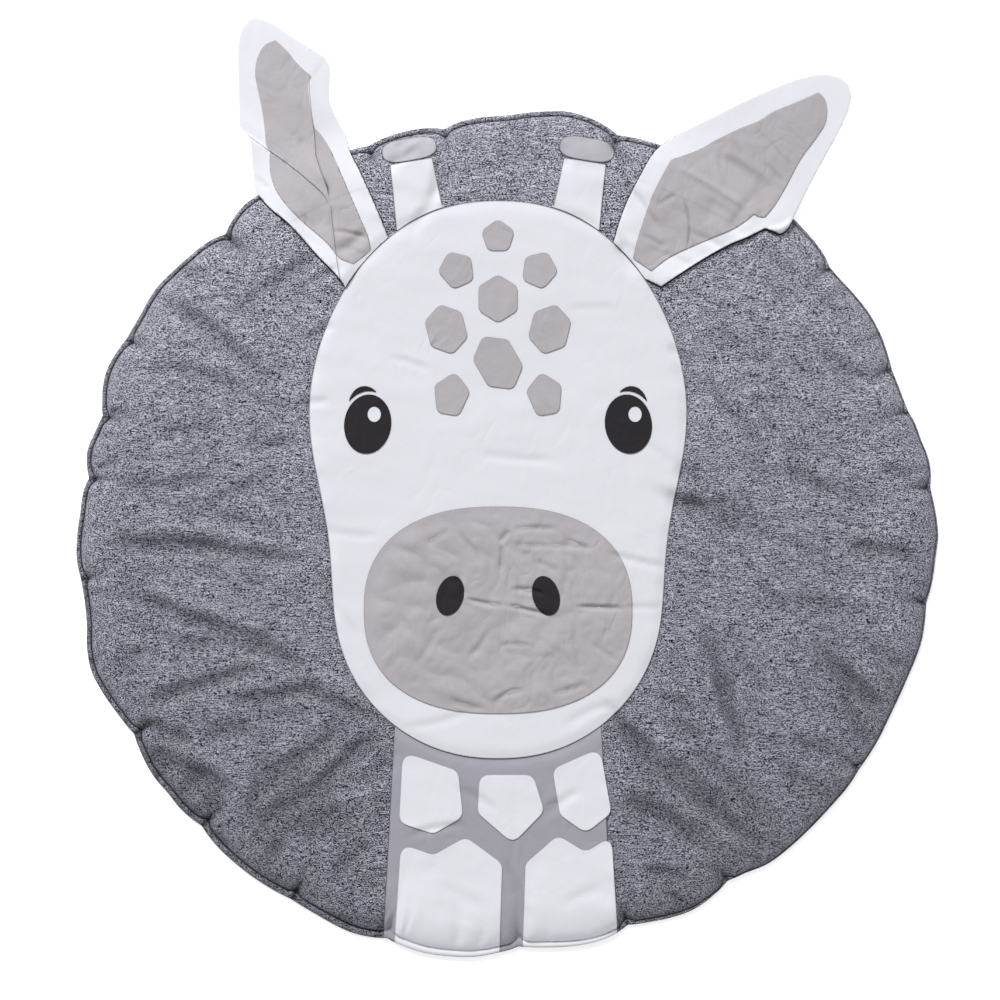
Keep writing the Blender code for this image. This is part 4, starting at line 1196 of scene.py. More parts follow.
class Nodes:
    """A node tree with short ways to add, set and join its nodes."""

    def __init__(self, tree: NodeTree) -> None:
        """Keeps the tree."""
        self.tree = tree

    def add(self, kind: str, settings: dict | None = None, **inputs: object) -> Node:
        """Adds a node, sets its properties, and sets or joins its inputs by name or number.

        Args:
            kind: The node's type name.
            settings: Properties of the node.
            inputs: Values or output sockets by input name, with _ for a space and i0 for number 0.

        Returns:
            The node.
        """
        node = self.tree.nodes.new(kind)
        for key, value in (settings or {}).items():
            setattr(node, key, value)
        for key, value in inputs.items():
            at = int(key[1:]) if key[0] == "i" and key[1:].isdigit() else key.replace("_", " ")
            if isinstance(value, NodeSocket):
                self.tree.links.new(value, node.inputs[at])
            else:
                node.inputs[at].default_value = value
        return node

    def stretched_noise(self, scale: Colour, detail: float, roughness: float = 0.5,
                        swirl: float = 0.0) -> NodeSocket:
        """Noise on Object coordinates, stretched by a scale in cells a metre along each axis."""
        place = self.add("ShaderNodeTexCoord").outputs["Object"]
        mapped = self.add("ShaderNodeMapping", Vector=place, Scale=scale).outputs["Vector"]
        noise = self.add("ShaderNodeTexNoise", {"noise_dimensions": "3D"}, Vector=mapped, Scale=1.0,
                         Detail=detail, Roughness=roughness, Distortion=swirl)
        return noise.outputs["Fac"]

    def maths(self, operation: str, first: object, second: object) -> NodeSocket:
        """One operation on two values or sockets."""
        return self.add("ShaderNodeMath", {"operation": operation}, i0=first, i1=second).outputs[0]

    def times(self, first: object, second: object) -> NodeSocket:
        """The product of two values."""
        return self.maths("MULTIPLY", first, second)

    def plus(self, first: object, second: object) -> NodeSocket:
        """The sum of two values."""
        return self.maths("ADD", first, second)

    def less(self, first: object, second: object) -> NodeSocket:
        """The first value less the second."""
        return self.maths("SUBTRACT", first, second)

    def spread(self, value: NodeSocket, low: float, high: float) -> NodeSocket:
        """A value spread from low and high to 0 and 1."""
        return self.add("ShaderNodeMapRange", {"clamp": True}, i0=value, i1=low, i2=high, i3=0.0,
                        i4=1.0).outputs[0]

    def mixed(self, share: object, first: object, second: object) -> NodeSocket:
        """Two colours mixed by a share."""
        node = self.add("ShaderNodeMix", {"data_type": "RGBA"}, i0=share, i6=first, i7=second)
        return node.outputs[2]

    def dimmed(self, colour: object, factor: object) -> NodeSocket:
        """A colour times a factor."""
        return self.add("ShaderNodeVectorMath", {"operation": "SCALE"}, i0=colour,
                        Scale=factor).outputs[0]

    def hand_on(self, node: Node, **outputs: NodeSocket) -> None:
        """Joins sockets to a node's inputs by name, with _ for a space."""
        for key, socket in outputs.items():
            self.tree.links.new(socket, node.inputs[key.replace("_", " ")])


def set_inputs(node: Node, **values: object) -> None:
    """Sets a node's own unlinked inputs by name, with _ for a space."""
    for key, value in values.items():
        node.inputs[key.replace("_", " ")].default_value = value


COLOUR_SOCKET = "NodeSocketColor"
NUMBER_SOCKET = "NodeSocketFloat"
CLOTH_OUTPUTS = {"Color": COLOUR_SOCKET, "Height": NUMBER_SOCKET}


def new_group(name: str, inputs: dict[str, str],
              outputs: dict[str, str]) -> tuple[Nodes, Node, Node]:
    """An empty shader node group.

    Args:
        name: Its name.
        inputs: Socket type by input name.
        outputs: Socket type by output name.

    Returns:
        Its nodes, its input node and its output node.
    """
    tree = bpy.data.node_groups.new(name, "ShaderNodeTree")
    for direction, sockets in (("INPUT", inputs), ("OUTPUT", outputs)):
        for key, kind in sockets.items():
            tree.interface.new_socket(key, in_out=direction, socket_type=kind)
    nodes = Nodes(tree)
    return nodes, nodes.add("NodeGroupInput"), nodes.add("NodeGroupOutput")


@dataclass
class Effects:
    """The node groups that the finishes share. Noise scales are in cells a metre, by axis."""

    short_fibre: Colour = (680.0, 1800.0, 1800.0)
    long_fibre: Colour = (70.0, 1600.0, 1600.0)
    short_share: float = 0.71
    fibre_spread: tuple[float, float] = (0.466, 0.562)
    weft: Colour = (130.0, 1100.0, 1100.0)
    warp: Colour = (1100.0, 130.0, 130.0)
    thread_spread: tuple[float, float] = (0.30, 0.70)
    thread_height: float = 0.12
    crumples: Colour = (30.0, 21.0, 21.0)
    crumple_height: float = 16.0
    loose_places: Colour = (9.0, 12.0, 12.0)
    loose_spread: tuple[float, float] = (0.34, 0.58)
    loose_share: float = 0.85
    slow_tone: Colour = (14.0, 17.0, 17.0)

    def __post_init__(self) -> None:
        """Builds each group once."""
        self.heather = self.build_heather()
        self.weave = self.build_weave()
        self.tone_and_painted_shade = self.build_tone_and_painted_shade()

    def build_heather(self) -> NodeTree:
        """Heather jersey: short fine streaks along X of dark and light fibre, at two lengths."""
        nodes, given, out = new_group(
            "heather_streaks", {"Dark": COLOUR_SOCKET, "Light": COLOUR_SOCKET}, CLOTH_OUTPUTS)
        short = nodes.stretched_noise(self.short_fibre, 0.0)
        long = nodes.stretched_noise(self.long_fibre, 0.0)
        streak = nodes.plus(nodes.times(short, self.short_share),
                            nodes.times(long, 1 - self.short_share))
        share = nodes.spread(streak, *self.fibre_spread)
        colour = nodes.mixed(share, given.outputs["Dark"], given.outputs["Light"])
        nodes.hand_on(out, Color=colour, Height=share)
        return nodes.tree

    def build_weave(self) -> NodeTree:
        """Plain weave: crossed fine threads whose colour strays a little, and a crumpled height."""
        nodes, given, out = new_group(
            "plain_weave",
            {"Colour": COLOUR_SOCKET, "Slub": NUMBER_SOCKET, "Crumple": NUMBER_SOCKET},
            CLOTH_OUTPUTS)
        weft = nodes.stretched_noise(self.weft, 1.0)
        warp = nodes.stretched_noise(self.warp, 1.0)
        threads = nodes.times(nodes.plus(weft, warp), 0.5)
        share = nodes.spread(threads, *self.thread_spread)
        strayed = nodes.times(nodes.less(share, 0.5), given.outputs["Slub"])
        shade = nodes.dimmed(given.outputs["Colour"], nodes.plus(strayed, 1.0))
        fold = nodes.stretched_noise(self.crumples, 2.0, swirl=0.5)
        ridge = nodes.maths("ABSOLUTE", nodes.less(fold, 0.5), 0.0)
        loose = nodes.spread(nodes.stretched_noise(self.loose_places, 1.0), *self.loose_spread)
        ridge = nodes.times(nodes.times(ridge, given.outputs["Crumple"]), self.crumple_height)
        spared = nodes.plus(nodes.times(loose, self.loose_share), 1 - self.loose_share)
        ridge = nodes.times(ridge, spared)
        height = nodes.plus(nodes.times(share, self.thread_height), ridge)
        nodes.hand_on(out, Color=shade, Height=height)
        return nodes.tree

    def build_tone_and_painted_shade(self) -> NodeTree:
        """Slow change of tone over a hand's breadth, and the piece's painted light and shade."""
        nodes, given, out = new_group(
            "tone_and_painted_shading", {"Colour": COLOUR_SOCKET, "Worn": NUMBER_SOCKET, "Tone": NUMBER_SOCKET},
            {"Color": COLOUR_SOCKET})
        slow = nodes.stretched_noise(self.slow_tone, 3.0, 0.55)
        strayed = nodes.times(nodes.less(slow, 0.5), given.outputs["Tone"])
        unshaded = nodes.less(1.0, given.outputs["Worn"])
        factor = nodes.times(nodes.plus(strayed, 1.0), unshaded)
        nodes.hand_on(out, Color=nodes.dimmed(given.outputs["Colour"], factor))
        return nodes.tree


def shader_of(name: str) -> tuple[Material, Nodes, Node]:
    """A new material with its nodes and its Principled shader."""
    material = bpy.data.materials.new(name)
    material.use_nodes = True
    return material, Nodes(material.node_tree), material.node_tree.nodes["Principled BSDF"]


def dress(nodes: Nodes, shader: Node, effects: Effects, cloth: Node, tone: float,
          strength: float, distance: float) -> None:
    """Joins a cloth group to the shader through tone, painted shading and bump.

    Args:
        nodes: The material's nodes.
        shader: Its shader.
        effects: The shared groups.
        cloth: The group node that gives Color and Height.
        tone: How much the tone strays.
        strength: The bump's strength.
        distance: The bump's distance.
    """
    worn = nodes.add("ShaderNodeAttribute", {"attribute_name": "worn"}).outputs["Fac"]
    tone_and_painted_shade = nodes.add("ShaderNodeGroup", {"node_tree": effects.tone_and_painted_shade}, Colour=cloth.outputs["Color"],
                     Worn=worn, Tone=tone)
    relief = nodes.add("ShaderNodeBump", Height=cloth.outputs["Height"], Strength=strength,
                       Distance=distance)
    nodes.hand_on(shader, Base_Color=tone_and_painted_shade.outputs["Color"], Normal=relief.outputs["Normal"])


@dataclass(frozen=True)
class HeatherJersey:
    """Fine knitted jersey of mixed dark and light fibre."""

    name: str
    dark: Colour
    light: Colour
    tone: float
    bump: float
    bump_depth: float = 0.0005
    roughness: float = 0.95
    specular: float = 0.15

    def build(self, effects: Effects) -> Material:
        """Makes the material."""
        material, nodes, shader = shader_of(self.name)
        streaks = nodes.add("ShaderNodeGroup", {"node_tree": effects.heather},
                            Dark=(*self.dark, 1.0), Light=(*self.light, 1.0))
        dress(nodes, shader, effects, streaks, self.tone, self.bump, self.bump_depth)
        set_inputs(shader, Roughness=self.roughness, Specular_IOR_Level=self.specular)
        return material


@dataclass(frozen=True)
class WovenCotton:
    """Plain-weave cotton in one dyed colour."""

    name: str
    colour: Colour
    slub: float
    tone: float
    crumple: float
    bump: float = 1.0
    roughness: float = 0.85
    bump_depth: float = 0.0004
    specular: float = 0.2

    def build(self, effects: Effects) -> Material:
        """Makes the material."""
        material, nodes, shader = shader_of(self.name)
        weave = nodes.add("ShaderNodeGroup", {"node_tree": effects.weave},
                          Colour=(*self.colour, 1.0), Slub=self.slub, Crumple=self.crumple)
        dress(nodes, shader, effects, weave, self.tone, self.bump, self.bump_depth)
        set_inputs(shader, Roughness=self.roughness, Specular_IOR_Level=self.specular)
        return material


class Cloth(Enum):
    """The cloths and the thread, each named as its slot in the record."""

    JERSEY = "grey_jersey"
    WHITE = "white_cotton"
    TAUPE = "taupe_cotton"
    NECK = "neck_grey"
    TIP = "tip_grey"
    BLACK = "black_cotton"


FINISHES = {
    Cloth.JERSEY: HeatherJersey("heather_jersey", (0.016, 0.016, 0.023), (0.700, 0.710, 0.830),
                                0.12, 0.5),
    Cloth.WHITE: WovenCotton("white_woven_cotton", (0.765, 0.770, 0.824), 0.01, 0.015, 0.22),
    Cloth.TAUPE: WovenCotton("taupe_woven_cotton", (0.452, 0.424, 0.440), 0.10, 0.12, 0.8),
    Cloth.NECK: WovenCotton("grey_woven_cotton", (0.376, 0.371, 0.423), 0.03, 0.05, 0.4, 1.0, 0.7),
    Cloth.TIP: WovenCotton("light_grey_woven_cotton", (0.450, 0.444, 0.485), 0.03, 0.03, 0.7),
    Cloth.BLACK: WovenCotton("black_woven_cotton", (0.023, 0.021, 0.024), 0.20, 0.10, 0.8),
}
THREAD = WovenCotton("grey_sewing_thread", (0.060, 0.061, 0.072), 0.10, 0.0, 0.0)


class Wardrobe:
    """Every finish, made once and handed out by cloth."""

    def __init__(self) -> None:
        """Makes the materials."""
        effects = Effects()
        self.of = {cloth: finish.build(effects) for cloth, finish in FINISHES.items()}
        self.thread = THREAD.build(effects)


def settle(piece: Object, node: str | None = None) -> Object:
    """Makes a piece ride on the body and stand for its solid."""
    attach(piece, "root")
    if node:
        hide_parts(node)
    return piece


# The filled mat ----


@dataclass
class MatCover:
    """The filled mat: front, welted edge and flat underside, as one closed body."""

    front: MatFront
    around: int = 640
    ring_step: float = 0.0030
    band: float = 0.024
    fine_to: float = 0.165
    sunk: float = 0.0032
    least_radius: float = 0.43
    fill: float = 0.35
    belly: float = 0.0012
    first_shares: tuple[float, ...] = (0.02, 0.08, 0.16, 0.25, 0.33)
    welt_shares: tuple[float, ...] = (1.0, 0.93, 0.80, 0.62, 0.42, 0.22, 0.08, 0.01, 0.0)
    past_welt: tuple[float, ...] = (17, 15, 13, 11.2, 9.5, 7.9, 6.4, 5, 3.8, 2.8, 1.9, 1.2, 0.6,
                                    0.2)
    under_edge: tuple[float, ...] = (0.2, 1.2, 3)
    under_rest: tuple[float, ...] = (6, 9, 14, 21, 30, 60, 130, 220, 320, 410)
    # Painted shade on the underside near the edge and further in
    under_painted_shade: tuple[float, float] = (0.4, 0.25)

    def rings(self, radii: Array, angle: Array) -> tuple[Array, Array]:
        """Front points and their painted shade at radii of shape (rings, around)."""
        x, y = radii * np.cos(angle), radii * np.sin(angle)
        z = self.front.height(x, y)
        hidden = -self.front.head.outside(x, y)
        z = z - self.sunk * ease((hidden - 0.010) / 0.012)
        return np.stack((x, y, z), -1), self.front.shade(x, y)

    def build(self, wardrobe: Wardrobe) -> None:
        """Builds the mat.

        A band at the edge has twice the points round, and its rings crowd at welt and groove.
        The underside rises from the floor to the welt's lower side over the sole's run. The rings'
        places past the welt and below are in millimetres from the edge.

        Args:
            wardrobe: The finishes.
        """
        coarse = np.arange(self.around) * 2 * np.pi / self.around
        fine = np.arange(2 * self.around) * np.pi / self.around
        reach = self.front.radius(coarse) - self.band
        whole = self.least_radius - self.band
        steps = int((whole - self.fine_to) / self.ring_step)
        shares = np.concatenate((self.first_shares, np.linspace(self.fine_to / whole, 1, steps)))
        inner, inner_worn = self.rings(shares[:, None] * reach, coarse)
        wide = self.front.flange(np.degrees(fine))
        past, at_welt = np.array(self.past_welt)[:, None] * MM, np.array(self.welt_shares)[:, None]
        insets = np.vstack((wide + past, wide * at_welt))
        outer, outer_worn = self.rings(self.front.radius(fine) - insets, fine)
        below = [self.underside(np.array(self.under_edge) * MM, fine),
                 self.underside(np.array(self.under_rest) * MM, coarse)]
        bands = [inner, outer, *below]
        worn = [inner_worn, outer_worn]
        worn += [np.full(band.shape[:2], tone_and_painted_shade) for band, tone_and_painted_shade in zip(below, self.under_painted_shade)]
        piece = mesh_piece("mat_cover", ring_shell(bands, worn), wardrobe.of[Cloth.JERSEY], 75.0)
        settle(piece, "mat_body")

    def underside(self, insets: Array, angle: Array) -> Array:
        """Rings of the underside at insets from the edge."""
        radii = self.front.radius(angle) - insets[:, None]
        low = self.front.welt_low - self.belly * np.sin(np.pi * np.clip(insets / 0.006, 0, 1))
        low = low * (1 - ease((insets - 0.004) / (self.front.sole_run - 0.004)))
        height = np.broadcast_to(low[:, None], radii.shape)
        return np.stack((radii * np.cos(angle), radii * np.sin(angle), height), -1)


# Cloth shapes on the front ----


# Height of a cloth's underside above the front and its thickness, by its place in the pile
LEVEL_LOW = (0.0003, 0.0016, 0.0025)
LEVEL_THICK = (0.0008, 0.0005, 0.0004)
# Places of the rings inside a cloth's edge, in millimetres, and the further ones at the mat's rim
EDGE_STEPS = (0.0, 0.05, 0.15, 0.35, 0.8, 1.5, 2.4, 3.4, 4.6)
RIM_STEPS = (5.4, 5.9, 6.3, 6.7, 7.2, 8.0, 9.2, 11.0, 13.4, 16.4)
# How dark a cloth's edge is and how far in the dark reaches; the bold edge is painted shadow
# where head, neck and horns meet the jersey
FINE_EDGE = (0.42, 0.00045)
BOLD_EDGE = (0.84, 0.00085)


def sunk_under(cover: Border, x: Array, y: Array) -> Array:
    """How far a cloth sinks under what covers it."""
    return 0.0006 * ease((-cover.outside(x, y) - 0.002) / 0.004)


def off_floor(ground: Array) -> Array:
    """0 where a cloth lies near the floor to 1 where it lies on the mat."""
    return ease((ground - 0.002) / 0.004)


@dataclass
class FlatShape:
    """A cloth shape sewn to the front, a closed sheet with a rolled edge."""

    name: str
    node: str
    cloth: Cloth
    rests_on: str
    outline: Array
    level: int
    around: int
    rings: int
    middle: tuple[float, float] | None = None
    covers: tuple[Border, ...] = ()
    at_rim: bool = False
    tint: float = 0.0
    edge: tuple[float, float] = FINE_EDGE
    hem: float = 0.0001
    hem_width: float = 0.0045
    under_step: int = 4
    under_drop: float = 0.0002

    def __post_init__(self) -> None:
        """Takes the middle of the outline's box where no other middle is given."""
        self.middle = self.middle or box_middle(self.outline)

    def lay(self, base: PlanValue, wardrobe: Wardrobe, shade: PlanValue | None = None) -> None:
        """Builds the sheet: rings of the outline drawn in towards its middle, laid on the base.

        The edge is half round and darker, a turned hem raises it a little, and the sheet sinks a
        little under what covers it.

        Args:
            base: Height of what the cloth lies on, by plan coordinates.
            wardrobe: The finishes.
            shade: More painted shade by plan coordinates.
        """
        thick, low = LEVEL_THICK[self.level], LEVEL_LOW[self.level]
        middle = np.array(self.middle)
        ray = even_outline(self.outline, self.around) - middle
        reach = np.linalg.norm(ray, axis=1)
        edge = np.array(EDGE_STEPS + (RIM_STEPS if self.at_rim else ())) * MM
        edge = edge[edge < 0.45 * reach.min()]
        shares = np.linspace(1, 0.03, self.rings)[1:]
        inset = np.vstack((np.repeat(edge[:, None], self.around, 1),
                           reach - shares[:, None] * (reach - edge[-1])))
        plan = middle + ray * ((reach - inset) / reach)[..., None]
        x, y = plan[..., 0], plan[..., 1]
        round_off = np.sqrt(1 - (1 - np.clip(inset / (0.5 * thick), 0, 1)) ** 2)
        hem = self.hem * (1 - ease((inset - 0.6 * self.hem_width) / (0.6 * self.hem_width)))
        ground = base(x, y) + low
        for cover in self.covers:
            ground = ground - sunk_under(cover, x, y)
        half = thick / 2
        top = np.stack((x, y, ground + half + (half + hem) * round_off), -1)
        bottom = np.stack((x, y, ground + half - half * round_off), -1)
        # The edge's darkening, painted contact shadow for the bold edge, on the mat; then the tint
        worn = self.edge[0] * bell(inset, self.edge[1]) * off_floor(ground) + self.tint
        if shade is not None:
            worn = worn + shade(x, y)
        few = np.concatenate((np.arange(1, len(edge)),
                              np.arange(len(edge) + 2, len(inset), self.under_step)))
        bottom[len(edge):, :, 2] -= self.under_drop
        shell = ring_shell([top[::-1], bottom[few]], [worn[::-1], worn[few]])
        piece = mesh_piece(self.name, shell, wardrobe.of[self.cloth])
        settle(piece, self.node)


def cotton_shade(x: Array, y: Array) -> Array:
    """Painted shade in the bottoms of the creases in the cotton."""
    return crease_shade(COTTON_CREASES, x, y, 0.045)


def head_shade(x: Array, y: Array) -> Array:
    """Painted shade of the head's creases, a little darker on the brow and lighter on the chin."""
    return cotton_shade(x, y) + 0.028 * ease((y - 0.14) / 0.10) - 0.040 * ease((-0.13 - y) / 0.05)


@dataclass
class FaceCloths:
    """Head, muzzle, nostrils, eyes, lashes and spots."""

    front: MatFront
    lash_points: int = 40
    lash_sides: int = 12

    def build(self, wardrobe: Wardrobe) -> None:
        """Builds each cloth of the face from the small ones to the head."""
        design, base = self.front.design, self.front.height
        for i, row in enumerate(SPOTS, 1):
            FlatShape(f"brow_spot_{i}", f"spot_{i}", Cloth.TAUPE, "head_panel", design.spot(row), 1,
                      84, 7, (design.axis_x + row.side, row.y)).lay(base, wardrobe)
        for side, word in SIDES:
            for name, cloth, rests_on, outline, level, around, rings, middle in (
                ("nostril", Cloth.BLACK, "muzzle_cloth", design.nostril_outline(side), 2, 110, 8,
                 design.nostril_middle(side)),
                ("eye", Cloth.BLACK, "head_panel", design.eye_outline(side), 1, 140, 10,
                 design.eye_middle(side)),
                ("eye_light", Cloth.WHITE, f"eye_cloth_{word}", design.eye_light(side), 2, 72, 6,
                 design.light_middle(side)),
            ):
                FlatShape(f"{name}_cloth_{word}", f"{name}_{word}", cloth, rests_on, outline,
                          level, around, rings, middle).lay(base, wardrobe)
            self.build_lash(side, word, wardrobe)
        FlatShape("muzzle_cloth", "muzzle", Cloth.TAUPE, "head_panel", design.muzzle(), 1, 440, 52,
                  design.muzzle_middle(), tint=-0.02).lay(base, wardrobe, cotton_shade)
        FlatShape("head_panel", "head", Cloth.WHITE, "mat_cover", design.head(), 0, 400, 80,
                  design.head_middle(), (self.front.muzzle,), edge=BOLD_EDGE
                  ).lay(base, wardrobe, head_shade)

    def build_lash(self, side: int, word: str, wardrobe: Wardrobe) -> Object:
        """Builds a lash: loops of a flat oval carried from end to end."""
        inner, outer = self.front.design.lash(side, self.lash_points)
        angle = np.arange(self.lash_sides) * 2 * np.pi / self.lash_sides
        across, up = (1 - np.cos(angle)) / 2, np.sin(angle)
        plan = inner[:, None] + (outer - inner)[:, None] * across[None, :, None]
        wide = np.linalg.norm(outer - inner, axis=1)[:, None]
        thick = np.minimum(LEVEL_THICK[1], 0.5 * wide)
        z = self.front.height(plan[..., 0], plan[..., 1]) + LEVEL_LOW[1] + thick * (0.5 + 0.5 * up)
        rings = np.concatenate((plan, z[..., None]), -1)
        shell = ring_shell([rings], [np.zeros(rings.shape[:2])])
        piece = mesh_piece(f"lash_cloth_{word}", shell, wardrobe.of[Cloth.BLACK])
        return settle(piece, f"lash_{word}")


@dataclass
class NeckCloths:
    """The neck panel and its patches, of which the lower two run to the mat's rim."""

    front: MatFront
    patch_tint: float = -0.05
    upper_patches: int = 3

    def groove_shade(self, x: Array, y: Array) -> Array:
        """Painted shade along the groove, painted light on the cloth inside it, and crease shade.
        """
        _, body, _ = self.front.filled(x, y)
        deep = np.maximum(body, 0)
        # Painted light on the cloth inside the groove
        unshaded = (0.09 * np.exp(-deep / 0.050) + 0.09 * np.exp(-deep / 0.012)) * (body > 0)
        return 0.13 * bell(body - 0.0003, 0.0006) - unshaded + cotton_shade(x, y)

    def build(self, wardrobe: Wardrobe) -> None:
        """Builds the neck and each patch."""
        design, base = self.front.design, self.front.height
        patches = []
        for i in range(len(NECK_PATCHES)):
            low = i >= self.upper_patches
            around, rings = (320, 20) if low else (240, 16)
            patch = FlatShape(f"neck_patch_cloth_{i + 1}", f"neck_patch_{i + 1}", Cloth.WHITE,
                              "neck_panel", design.patch(i, self.front), 1, around, rings,
                              at_rim=low, tint=self.patch_tint)
            patch.lay(base, wardrobe, self.groove_shade)
            patches.append(Border(patch.outline, patch.middle))
        FlatShape("neck_panel", "neck", Cloth.NECK, "mat_cover", design.neck(self.front), 0, 400,
                  46, (design.axis_x, -0.34), tuple(patches), True, edge=BOLD_EDGE
                  ).lay(base, wardrobe, self.groove_shade)


@dataclass
class HornCloths:
    """The horns and their grey ends."""

    front: MatFront

    def build(self, wardrobe: Wardrobe) -> None:
        """Builds both horns."""
        design = self.front.design
        for side, word in SIDES:
            for name, cloth, outline in (("horn", Cloth.WHITE, design.horn(side)),
                                         ("horn_tip", Cloth.TIP, design.horn_tip(side))):
                FlatShape(f"{name}_cloth_{word}", f"{name}_{word}", cloth, "mat_cover", outline, 0,
                          150, 8, edge=BOLD_EDGE).lay(self.front.height, wardrobe)


# Ears ----


def higher(first: Array, second: Array, soft: float) -> Array:
    """The higher of two heights, eased where they meet by a root of squares with a softness."""
    return (first + second + np.sqrt((first - second) ** 2 + soft**2)) / 2


def above_floor(height: Array) -> Array:
    """Heights eased off so that none sinks into the floor."""
    return higher(height, np.zeros_like(height), 0.0008)


@dataclass
class EarLayer:
    """One cloth of an ear: its piece, its solid, what it lies on, its edge and its section.

    low is its underside's distance from the height that carries it; beside holds further
    bodies: the painted shadow strips under its edge.
    """

    name: str
    node: str
    cloth: Cloth
    rests_on: str
    outline: Array
    low: float
    thick: float
    beside: tuple[Shell, ...] = ()


@dataclass
class EarDrape:
    """How an ear lies: on the front, then over the rim and down to the floor."""

    front: MatFront
    fall_in: float = 0.045
    fall_out: float = 0.045
    # The painted shadow strips: points along the edge, widths, inset, lifts and darkness
    strip_points: int = 420
    strip_widths: tuple[float, float] = (0.0008, 0.0010)
    strip_inwards: float = 0.0012
    strip_lifts: tuple[float, float] = (0.0005, 0.0008)
    strip_painted_shade: float = 0.95

    def height(self, x: Array, y: Array, lift: float) -> Array:
        """Height of the cloth's underside: the front plus a lift, or an eased fall to the floor.

        Where the front stands higher than the fall, the cloth is carried over it.

        Args:
            x: Plan coordinates.
            y: Plan coordinates.
            lift: Clearance above the front.

        Returns:
            Heights.
        """
        inset = self.front.inset(x, y)
        angle = np.arctan2(y, x)
        start = self.front.radius(angle) - self.fall_in
        top = self.front.height(start * np.cos(angle), start * np.sin(angle)) + lift
        falling = top * ease((inset + self.fall_out) / (self.fall_in + self.fall_out))
        on_front = self.front.height(x, y) + lift
        carried = np.where(inset > 0, on_front, 0.0)
        over = higher(falling, carried, 0.0006)
        return np.where(inset > self.fall_in, on_front, np.where(inset > 0, over, falling))

    def evened(self, x: Array, y: Array) -> Array:
        """Painted shading evening the light on an ear: darker on its fall, lighter elsewhere."""
        inset = self.front.inset(x, y)
        falling = ease((inset + 0.055) / 0.030) * ease((0.045 - inset) / 0.030)
        return 0.09 * falling - 0.05

    def ended_at_head(self, outline: Array) -> Array:
        """An ear's outline, pushed out to the head's edge where it runs under it."""
        design = self.front.design
        away = outline - np.array(design.head_middle())
        short = np.maximum(design.gap - self.front.head.outside(*outline.T), 0)
        return outline + away / np.linalg.norm(away, axis=1)[:, None] * short[:, None]

    def edge_painted_shadow(self, x: Array, y: Array, ground: Array, clip: Array) -> Array:
        """Painted shadow, 1 on a layer's edge where it lies on the mat clear of the head, else 0.
        """
        return np.where(clip, off_floor(ground) * ease(self.front.head.outside(x, y) / 0.004), 0.0)

    @staticmethod
    def hang(layer: EarLayer, sides: list[Array], kept: Array, worn: Array, wardrobe: Wardrobe,
             tuck: float = 0.0) -> None:
        """Args:
            layer: The cloth.
            sides: Its upper and its lower grid.
            kept: Which cells are used.
            worn: The painted light and shade of the points.
            wardrobe: The finishes.
            tuck: How deep a pleat is laid in it, 0 for none; not used.
        """
        shell = joined_shells([masked_shell(*sides, kept, worn), *layer.beside])
        piece = mesh_piece(layer.name, shell, wardrobe.of[layer.cloth])
        settle(piece, layer.node)

    def painted_shadow_strips(self, outline: Array) -> list[Shell]:
        """Painted shadow under an ear's edge on the mat: dark strips that end at rim and head.

        Each is a four-sided tube along the edge, wider where the edge faces away from the light.

        Args:
            outline: The ear's edge in plan.

        Returns:
            One body for each part of the edge that lies on the bare front.
        """
        edge = even_outline(outline, self.strip_points)
        ahead = np.roll(edge, -1, 0) - np.roll(edge, 1, 0)
        out = np.stack((ahead[:, 1], -ahead[:, 0]), 1) / np.linalg.norm(ahead, axis=1)[:, None]
        bare = ease(self.front.inset(*edge.T) / 0.006)
        bare *= ease(self.front.head.outside(*edge.T) / 0.003)
        wide = bare * (self.strip_widths[0] + self.strip_widths[1] * np.maximum(-out[:, 1], 0))
        first = np.flatnonzero((bare == 0) & (np.roll(bare, -1) > 0))
        low, high = self.strip_lifts
        strips = []
        for start in first:
            run = np.arange(start, start + self.strip_points) % self.strip_points
            run = run[1:1 + int(np.argmax(bare[run[1:]] == 0))]
            inner = edge[run] - self.strip_inwards * bare[run, None] * out[run]
            outer = edge[run] + wide[run, None] * out[run]
            tube = []
            for plan, lift in ((inner, low), (outer, low), (outer, high), (inner, high)):
                tube.append(np.column_stack((plan, self.front.height(*plan.T) + lift)))
            rings = np.stack(tube, 1)
            strips.append(ring_shell([rings], [np.full(rings.shape[:2], self.strip_painted_shade)]))
        return strips


